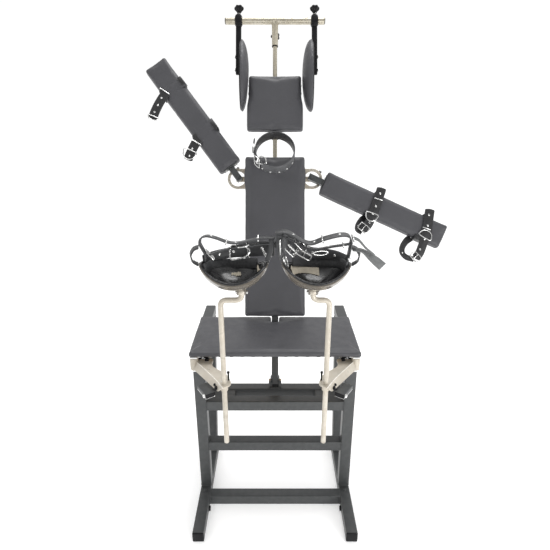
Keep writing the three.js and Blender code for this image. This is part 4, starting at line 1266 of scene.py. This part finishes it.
for side, sign in SIDES:
    body = f"{side}_leg_bracket"
    low, high = local_box(f"{side}_leg_bracket", CHAIR)
    top, under = high.z - 13, high.z - 17
    inner = curve([(240, -2), (208, -2), (203, -44), (170, -77), (148, -102), (134, -147), (157, -167)])
    fold = [(187, -117.5), (233, -54), (272, -3)]
    plate = Part()
    outline = inner + fold
    plate.rings([[(sign * x, y, z) for x, y in outline] for z in (under, top)])
    # flange that leans outwards below the fold
    edge = [(157, -167), (187, -117.5), (233, -54), (274, -1)]
    foot = [(175, -151), (181.5, -143.5), (229, -81), (280, -14)]
    rings = []
    for (a, b), (c, d) in zip(edge, foot):
        ring = [(a, b, top), (a - 3, b + 2.2, under), (c - 3, d + 2.2, 596), (c, d, 597)]
        rings.append([(sign * x, y, z) for x, y, z in ring])
    plate.rings(rings)
    boss_x, boss_y = 268, -12
    plate.lathe(
        [(5.4, 590), (13.2, 590), (14, 590.8), (14, 633), (13.2, 634), (5.4, 634)],
        pointing((sign * boss_x, boss_y, 0), Z_AXIS), 32,
    )
    plate.lathe(
        [(8.4, 597), (10.8, 597), (11.6, 598), (11.6, under)], pointing((sign * 155, -142.5, 0), Z_AXIS),
        28,
    )
    plate.build(
        f"{side}_bracket_plate", body, cream, "beige_paint", bevel=0.9, replaces=(f"{side}_leg_bracket",)
    )
    # thin light tube along the fold of the plate: a painted highlight on the bent edge
    fold_highlight = Part()
    fold_highlight.tube([(sign * x, y, top - 0.2) for x, y in edge], 1.1, False, 8, 3.0)
    fold_highlight.build(f"{side}_bracket_fold", body, fold_highlight_paint, "beige_paint", smooth=60)
    rod_low, rod_high = local_box(f"{side}_leg_rod", CHAIR)
    pivot = CHAIR.inverted() @ Vector(JOINTS[f"{side}_cradle_tilt"]["pos_m"])
    rod_radius = 8.0
    rod_x = (rod_low.x if sign < 0 else rod_high.x) - sign * rod_radius
    rod_y = pivot.y
    step_z = pivot.z - 25
    rod = Part()
    bottom = rod_low.z
    rod.lathe(
        [(rod_radius - 1.4, 0), (rod_radius, 1.4), (rod_radius, 4)],
        pointing((rod_x, rod_y, bottom), Z_AXIS), 24,
    )
    path = filleted(
        [
            (rod_x, rod_y, bottom + 3), (rod_x, rod_y, step_z), (pivot.x, rod_y, step_z),
            (pivot.x, rod_y, pivot.z),
        ],
        19,
    )
    rod.tube(path, rod_radius, False, 24, 1000)
    eye = [(4.3, 0), (8.6, 0), (9.2, 0.6), (9.2, 16.0), (8.6, 16.6), (4.3, 16.6)]
    rod.lathe(eye, pointing((pivot.x - 8.3, rod_y, pivot.z), X_AXIS), 28)
    rod.build(
        f"{side}_rod_tube", f"{side}_leg_rod", cream, "beige_paint", smooth=45,
        replaces=(f"{side}_leg_rod",),
    )

    fittings = Part()
    # cross screw on the flange and pin beside the rod
    normal = Vector((sign * 0.7, -0.5, 0.5)).normalized()
    spot = Vector((sign * 186, -130, 607)) + normal * 0.4
    fittings.lathe([(4.6, 0), (4.4, 1.6), (3.2, 2.6), (0, 2.8)], pointing(spot, normal), 18)
    fittings.lathe(
        [(2.6, 0), (2.6, 26), (4.2, 26.5), (4.2, 31), (0, 31.5)],
        pointing((sign * 143, -126, top - 1), Z_AXIS), 16,
    )
    fittings.build(f"{side}_bracket_fittings", body, plastic, "black_plastic", smooth=40)
    # plug in the front end of the stay, and its chrome bolts
    turn = Matrix.Rotation(math.radians(-33.3) * sign, 4, "Z")
    stay_low, stay_high = local_box(f"{side}_bracket_stay", CHAIR)
    stay_middle = (stay_low + stay_high) / 2
    front = Matrix.Translation(stay_middle) @ turn
    plug = Part()
    plug.box(-15.6, 15.6, -32.5, -30, -6.6, 6.6, front)
    plug.box(-13, 13, -31, -24, -4.5, 4.5, front)
    plug.build(f"{side}_stay_plug", body, plastic, "black_plastic", bevel=1.0)
    tip = Part()
    tip.lathe(BOLT_HEAD, front @ pointing((sign * 16, -24, 0), (sign, 0, 0)), 12)
    tip.tube([front @ Vector((x, -33, -6)) for x in (-15, 0, 15)], 0.9, False, 8, 4.0)
    tip.tube([front @ Vector((sign * 16, y, -6)) for y in (-32, 0, 29)], 0.9, False, 8, 4.0)
    for x, y in ((150, -132), (163, -136)):
        tip.lathe([(3.4, 0), (3.2, 1.6), (0, 2.0)], pointing((sign * x, y, top), Z_AXIS), 12)
    tip.build(f"{side}_stay_bolts", body, chrome, "bright_steel", smooth=40)
    at, radius, length = knob_place(f"{side}_rod_screw", CHAIR, 0, sign)
    knob(f"{side}_rod_screw", radius, length - 6, 2.6, 6, at, (sign, 0, 0), CHAIR, 6)

    # toggle clamp that hangs under the front edge of the seat
    under = Part()
    x = sign * 226
    seat_z = local_box("seat_pad", CHAIR)[0].z
    under.box(x - 13, x + 13, -4, 22, seat_z - 4.2, seat_z + 0.2)
    under.box(x - 9, x + 9, -9, 3, seat_z - 13, seat_z - 4)
    under.lathe(
        [(0, 0), (5.6, 0), (6.6, 2), (6.6, 12), (5.0, 14), (0, 14)],
        pointing((x, -4, seat_z - 13.5), (0, -1, -0.35)), 24,
    )
    under.build(f"{side}_seat_catch", "frame", plastic, "black_plastic", bevel=0.8)

# ---------- leg cradles ----------

HALF = Vector((98, 95, 95))
RIM_RADIUS, RIM_CENTRE = 80.0, -100.0


def bowl_point(phi, down, inset, rim_inset):
    """Point on a bowl; down is 0 at the rim and 1 at the bottom."""
    a, b, c = HALF.x - inset, HALF.y - inset, HALF.z - inset
    lower, upper = 0.0, 1.0
    for _ in range(26):
        guess = (lower + upper) / 2
        rise = (RIM_RADIUS - rim_inset) ** 2 - (b * guess * math.sin(phi)) ** 2
        rim = RIM_CENTRE + math.sqrt(max(0.0, rise))
        if -c * math.sqrt(1 - guess * guess) < rim:
            lower = guess
        else:
            upper = guess
    lean = math.asin(lower) * (1 - down) + 0.012 * down
    flat = math.sin(lean)
    return Vector((a * flat * math.cos(phi), b * flat * math.sin(phi), -c * math.cos(lean)))


def bowl(part, outside, inside, rim_inset, folds=0.0, seed=0.0):
    steps = 22
    count = 84
    phis = [2 * math.pi * k / count for k in range(count)]

    def ring(down, inset, lift=0.0, wavy=0.0):
        points = []
        for phi in phis:
            p = bowl_point(phi, down, inset, rim_inset)
            if wavy:
                inward = -Vector((p.x, p.y, p.z)).normalized()
                p += inward * wavy * (
                    noise.noise(Vector((phi * 1.9, p.z * 0.06, seed))) + 0.6 * noise.noise(p * 0.045)
                )
            points.append(p + Z_AXIS * lift)
        return points

    rings = [ring(1 - k / steps, outside) for k in range(steps + 1)]
    rings.append(ring(0.0, outside * 0.8 + inside * 0.2, 0.7))
    rings.append(ring(0.0, outside * 0.2 + inside * 0.8, 0.7))
    rings += [ring(k / steps, inside, 0.0, folds * min(1.0, k / 3)) for k in range(steps + 1)]
    part.rings(rings)


def patch(part, low_u, high_u, middle_w, half_w, edge_strength=0.1):
    """Strip of tape that lies on the inside of the lining. middle_w is a function of u."""
    rings = []
    pieces = 24
    for k in range(pieces + 1):
        u = low_u + (high_u - low_u) * k / pieces
        ring = []
        for w_shift, inset in ((-1, 14.0), (1, 14.0), (1, 12.4), (-1, 12.4)):
            ragged = 1 + edge_strength * (noise.noise(Vector((u * 0.21, w_shift * 5, 3))) - 0.25)
            w = middle_w(u) + w_shift * half_w * ragged
            a, b, c = HALF.x - inset, HALF.y - inset, HALF.z - inset
            v = b * math.sqrt(max(0.02, 1 - (u / a) ** 2 - (w / c) ** 2))
            ring.append(Vector((u, v, w)))
        rings.append(ring)
    part.rings(rings)


def rim_path(inset, rim_inset, lift=0.0):
    return [bowl_point(2 * math.pi * k / 40, 0.0, inset, rim_inset) + Z_AXIS * lift for k in range(40)]


# across the strap: mostly front to back, tipped a little towards the front
FLAT = Vector((0, 1, -0.12))
UPRIGHT = Vector((0, 0.28, 1))
CUFFS = {
    "left": {
        "cuff": (
            [
                (84, 4, -14), (62, 46, -15), (22, 70, -13), (-20, 73, -6), (-58, 67, 1), (-90, 60, 3),
                (-112, 56, 4),
            ],
            [30, 29, 30, 40, 45, 43, 41],
        ),
        "ribbed": [
            (78, -22, -30), (66, 34, -38), (34, 62, -44), (0, 68, -46), (-34, 60, -42), (-62, 38, -34)
        ],
        "arch": [(76, 3, -10), (78, 2, 8), (85, 0, 24), (90, 0, 37), (86, 0, 51), (70, 0, 57), (46, 2, 51),
                 (14, 4, 38.5), (-12, 8, 35.7), (-45, 14, 41), (-77, 20, 46.5), (-112, 24, 46)],
        "second": [(66, -8, 6), (30, -2, 17), (-6, 2, 25), (-44, 10, 27), (-80, 18, 30), (-112, 22, 30)],
        "hanging": [([(-103, 14, 46), (-102, 6, 24), (-96, 2, 0), (-90, 0, -14)], 15)],
        "rivets": [0.3, 0.47, 0.84],
        "bars": [0.66, 0.955],
    },
    "right": {
        "cuff": (
            [
                (84, 4, -14), (60, 48, -15), (22, 69, -15), (-16, 71, -12), (-50, 66, 6), (-80, 58, 22),
                (-112, 52, 30),
            ],
            [30, 30, 32, 36, 42, 44, 42],
        ),
        "ribbed": [
            (82, -18, -26), (68, 34, -30), (34, 62, -38), (0, 68, -42), (-34, 61, -36), (-64, 38, -26)
        ],
        "arch": [(84, 2, -16), (88, 0, 6), (91, 0, 28), (92, 0, 45), (84, 0, 58), (61, 0, 60), (21, 0, 50),
                 (-14, 4, 36), (-40, 8, 42), (-66, 12, 58), (-88, 14, 66), (-112, 16, 62)],
        "second": [
            (97, -2, 38), (76, -2, 33), (41, 0, 27), (2, 4, 19), (-34, 8, 24), (-70, 12, 44),
            (-112, 16, 58),
        ],
        "hanging": [
            ([(-101, 8, 64), (-101, 0, 40), (-98, -4, 14), (-92, -6, -10)], 20),
            ([(-84, 10, 60), (-88, 2, 34), (-82, -2, 8)], 17),
        ],
        "rivets": [0.22, 0.5],
        "bars": [0.6, 0.72, 0.9],
    },
}

for side, sign in SIDES:
    local, body, plan = CRADLE[side], f"{side}_cradle", CUFFS[side]
    shell = Part(local)
    bowl(shell, 0.0, 4.0, 0.0)
    pivot = local.inverted() @ Vector(JOINTS[f"{side}_cradle_tilt"]["pos_m"])
    for lug in (-11, 11):
        cheek = [(8.5, 0), (9.0, 0.5), (9.0, 3.5), (8.5, 4.0)]
        shell.lathe([(0, 0)] + cheek + [(0, 4.0)], pointing((pivot.x + lug - 2, 0, pivot.z), X_AXIS), 24)
        rise = PIVOT_DROP - 1 - HALF.z * math.sqrt(1 - ((pivot.x + lug) / HALF.x) ** 2)
        shell.box(pivot.x + lug - 2, pivot.x + lug + 2, -9, 9, pivot.z, pivot.z + rise)
    shell.build(
        f"{side}_shell", body, shell_gloss, "taupe_shell", smooth=45, replaces=(f"{side}_cradle_shell",)
    )

    lining = Part(local)
    bowl(lining, 4.3, 12.0, 3.0, 1.5, 3.0 * sign)
    lining.tube(rim_path(6.0, 1.0, 0.6), 3.4, True, 12, 6.0)
    lining.build(
        f"{side}_lining", body, glossy_hide, "black_leather", smooth=60,
        replaces=(f"{side}_cradle_liner",),
    )

    leather, steel, sewing, ribs = Part(local), Part(local), Part(local), Part(local)
    points, widths = plan["cuff"]
    cuff = leather.band(points, UPRIGHT, widths, 4.2)
    sewing.stitches(cuff, 2.2, 3.6, faces=(1, -1))
    ribs.band(plan["ribbed"], Vector((0, 0.42, 1)), 31, 5.5, ribs=4.6)
    arch = leather.band(plan["arch"], FLAT if side == "left" else Vector((0, 1, 0.06)), 31, 4.0)
    sewing.stitches(arch, 1.7, faces=(1, -1))
    second = leather.band(plan["second"], FLAT, 26, 3.0, tips=(12, 0))
    sewing.stitches(second, 1.6, faces=(1, -1))
    outer_loop = [(95, 3, 25), (108, 2, 20), (117, 0, 5), (113, -1, -13), (97, 0, -25)]
    loop = leather.band(outer_loop, Vector((0.28, 1, 0.15)), 24, 3.0)
    sewing.stitches(loop, 1.6, faces=(1, -1))
    # ends that hang down beside the inner edge of the bowl
    for points, width in plan["hanging"]:
        leather.band(points, Vector((1, 0.35, 0)), width, 3.0, tips=(0, 6))
    for share in plan["rivets"]:
        both_faces(steel.rivet, at_run(cuff, share), 2.2, 4.4)
    for share in plan["bars"]:
        keeper(steel, at_run(cuff, share), 5.0, 2.0)
    for share in (0.35, 0.6, 0.82):
        both_faces(steel.rivet, at_run(arch, share), 1.8, 3.8)
    for share in (0.3, 0.55):
        both_faces(steel.eyelet, at_run(second, share), 1.2, 3.8)
    both_faces(steel.rivet, at_run(loop, 0.72), 1.7, 3.8)
    # screws that hold the arch and the loop to the shell
    for w in (-24, -17):
        steel.rivet((98.0, 0, w), (1, 0, 0.1), 3.6)
    bolt = [(5.4, 0), (5.4, 4.2), (3.2, 4.6), (3.2, 30.4), (5.4, 30.8), (5.4, 35), (3.4, 36.4), (0, 36.4)]
    steel.lathe([(0, 0)] + bolt, pointing((pivot.x - 18, 0, pivot.z), X_AXIS), 24)

    if side == "left":
        steel.ring((8, 6, 7), (-1, 0.1, 0.06), (0, 0.25, 1), 52, 34, 2.0)
        steel.buckle((66, 10, 0), (0.1, 1, -0.1), (0.63, 0, 0.78), 24, 36, 2.2)
        steel.buckle((-24, 8, 30), (-1, 0.1, 0.1), (0.1, 1, 0.1), 30, 34, 2.0)
        steel.tube([(-67, 8, 40), (-67, 7, 50), (-67, 8, 58)], 2.0)
        steel.ring((-82, 20, 8), (-0.5, -0.2, -1), (0.4, 1, 0.1), 30, 26, 2.0)
        keeper(steel, at_run(arch, 0.5), 4.0, 1.8)
    else:
        steel.buckle((-46, 14, 31), (0.5, 0.7, 0.4), (0.65, 0, -0.75), 18, 34, 2.1)
        steel.buckle((-70, 6, 13), (0.5, 0.7, 0.4), (0.68, 0, -0.72), 18, 36, 2.1)
        steel.buckle((-33, 4, 2), (0.4, 0.8, 0.4), (0.85, 0, -0.5), 20, 40, 2.1)
        steel.ring((-97, 4, 46), (0, -0.1, -1), (0.15, 1, 0), 44, 30, 2.1)
        steel.ring((-88, 0, -2), (0.35, 0, -1), (0.25, 1, 0), 32, 22, 2.2)
        oval = [
            (11 + 20 * math.cos(t), -4 + 3 * math.cos(t), 10 + 6 * math.sin(t))
            for t in (math.pi * k / 8 for k in range(16))
        ]
        steel.tube(oval, 1.8, True, 10, 2.5)
        keeper(steel, at_run(arch, 0.52), 4.4, 1.9)
        keeper(steel, at_run(second, 0.12), 4.4, 1.9)
        steel.ring((95, 0, 57), (0.3, 0, -1), (0, 1, 0), 16, 24, 1.9)
        steel.rivet((88, -18, -3), (0.2, -1, 0.1), 4.4)
        tail = Part(local)
        turning = [
            Vector((0, 1, 0.05)), Vector((0.05, 0.95, 0.2)), Vector((0.3, 0.7, 0.6)),
            Vector((0.45, 0.2, 0.9)), Vector((0.45, 0, 0.9)),
        ]
        tail.band(
            [(96, -4, 20), (122, -4, 17), (146, -6, 0), (166, -8, -15), (181, -8, -28)], turning,
            [24, 24, 24, 25, 26], 2.2,
        )
        tail.band(
            [(96, 0, 52), (113, 0, 45), (134, -3, 23), (158, -7, 5)], Vector((0.2, 1, 0.25)),
            [16, 15, 12, 9], 2.0, tips=(0, 8),
        )
        tail.build("right_webbing_tail", body, webbing, "black_leather", smooth=60)
    tape = Part(local)
    if side == "left":
        patch(tape, -72, -50, lambda u: -42 + 0.3 * (u + 60), 4.5, 1.6)
        patch(tape, -16, 12, lambda u: -68.0, 4.0, 1.7)
    else:
        patch(tape, -68, 14, lambda u: -47 - 16 * ((u + 68) / 82) ** 0.8, 8.5)
    tape.build(f"{side}_hook_tape", body, loop_tape, smooth=60)
    leather.build(
        f"{side}_cradle_leather", body, band_hide, "black_leather", smooth=50,
        replaces=(f"{side}_cradle_strap",),
    )
    ribs.build(f"{side}_ribbed_band", body, band_hide, "black_leather", smooth=60)
    steel.build(f"{side}_cradle_metal", body, chrome, "bright_steel", smooth=50)
    sewing.build(f"{side}_cradle_thread", body, thread, smooth=60)

# ---------- floor, light and camera ----------

bpy.ops.mesh.primitive_plane_add(size=60)
floor = bpy.context.object
floor.name = "floor"
floor_white, floor_nodes = surface("floor_white", (0.9, 0.9, 0.9), 0.8, vary=0.01, vary_scale=0.6)
floor_nodes.shader.inputs["Emission Color"].default_value = (1, 1, 1, 1)
floor_nodes.shader.inputs["Emission Strength"].default_value = 0.34
floor.data.materials.append(floor_white)

# white surroundings, darker on the viewer's side of the room
world = bpy.data.worlds.new("studio")
bpy.context.scene.world = world
world.use_nodes = True
sky = world.node_tree
direction = sky.nodes.new("ShaderNodeTexCoord")
parts = sky.nodes.new("ShaderNodeSeparateXYZ")
level = sky.nodes.new("ShaderNodeMapRange")
level.interpolation_type = "SMOOTHSTEP"
for socket, value in ((1, -0.75), (2, 0.05), (3, 0.42), (4, 1.03)):
    level.inputs[socket].default_value = value
sky.links.new(direction.outputs["Generated"], parts.inputs[0])
sky.links.new(parts.outputs["Y"], level.inputs["Value"])
sky.links.new(level.outputs[0], sky.nodes["Background"].inputs["Strength"])
sky.nodes["Background"].inputs["Color"].default_value = (1, 1, 1, 1)


def softbox(name, at, target, size, power):
    light = bpy.data.lights.new(name, "AREA")
    light.shape = "RECTANGLE"
    light.size, light.size_y = size
    light.energy = power
    obj = bpy.data.objects.new(name, light)
    bpy.context.scene.collection.objects.link(obj)
    obj.location = at
    obj.rotation_euler = (Vector(target) - Vector(at)).to_track_quat("-Z", "Y").to_euler()


CHAIR_MIDDLE = (0, 0.1, 0.95)
softbox("low_light", (1.5, -2.1, 0.75), (0, 0.1, 0.8), (1.3, 1.0), 34)
softbox("fill_light", (-1.8, -2.2, 2.5), CHAIR_MIDDLE, (1.0, 0.8), 12)
softbox("top_light", (0.4, 0.9, 3.6), CHAIR_MIDDLE, (1.8, 1.0), 40)

SENSOR_WIDTH = 36
FOCAL_SHARE = 9 / 11  # focal length over sensor width
CAMERA_TILT = 20.5  # degrees below the horizon
camera = bpy.data.cameras.new("camera")
camera.sensor_width = SENSOR_WIDTH
camera.lens = SENSOR_WIDTH * FOCAL_SHARE
camera.dof.use_dof = False
view = bpy.data.objects.new("camera", camera)
bpy.context.scene.collection.objects.link(view)
view.location = (0, -1.3115, 1.410)
view.rotation_euler = (math.radians(90 - CAMERA_TILT), 0, 0)
bpy.context.scene.camera = view
bpy.context.scene.view_settings.view_transform = "Standard"
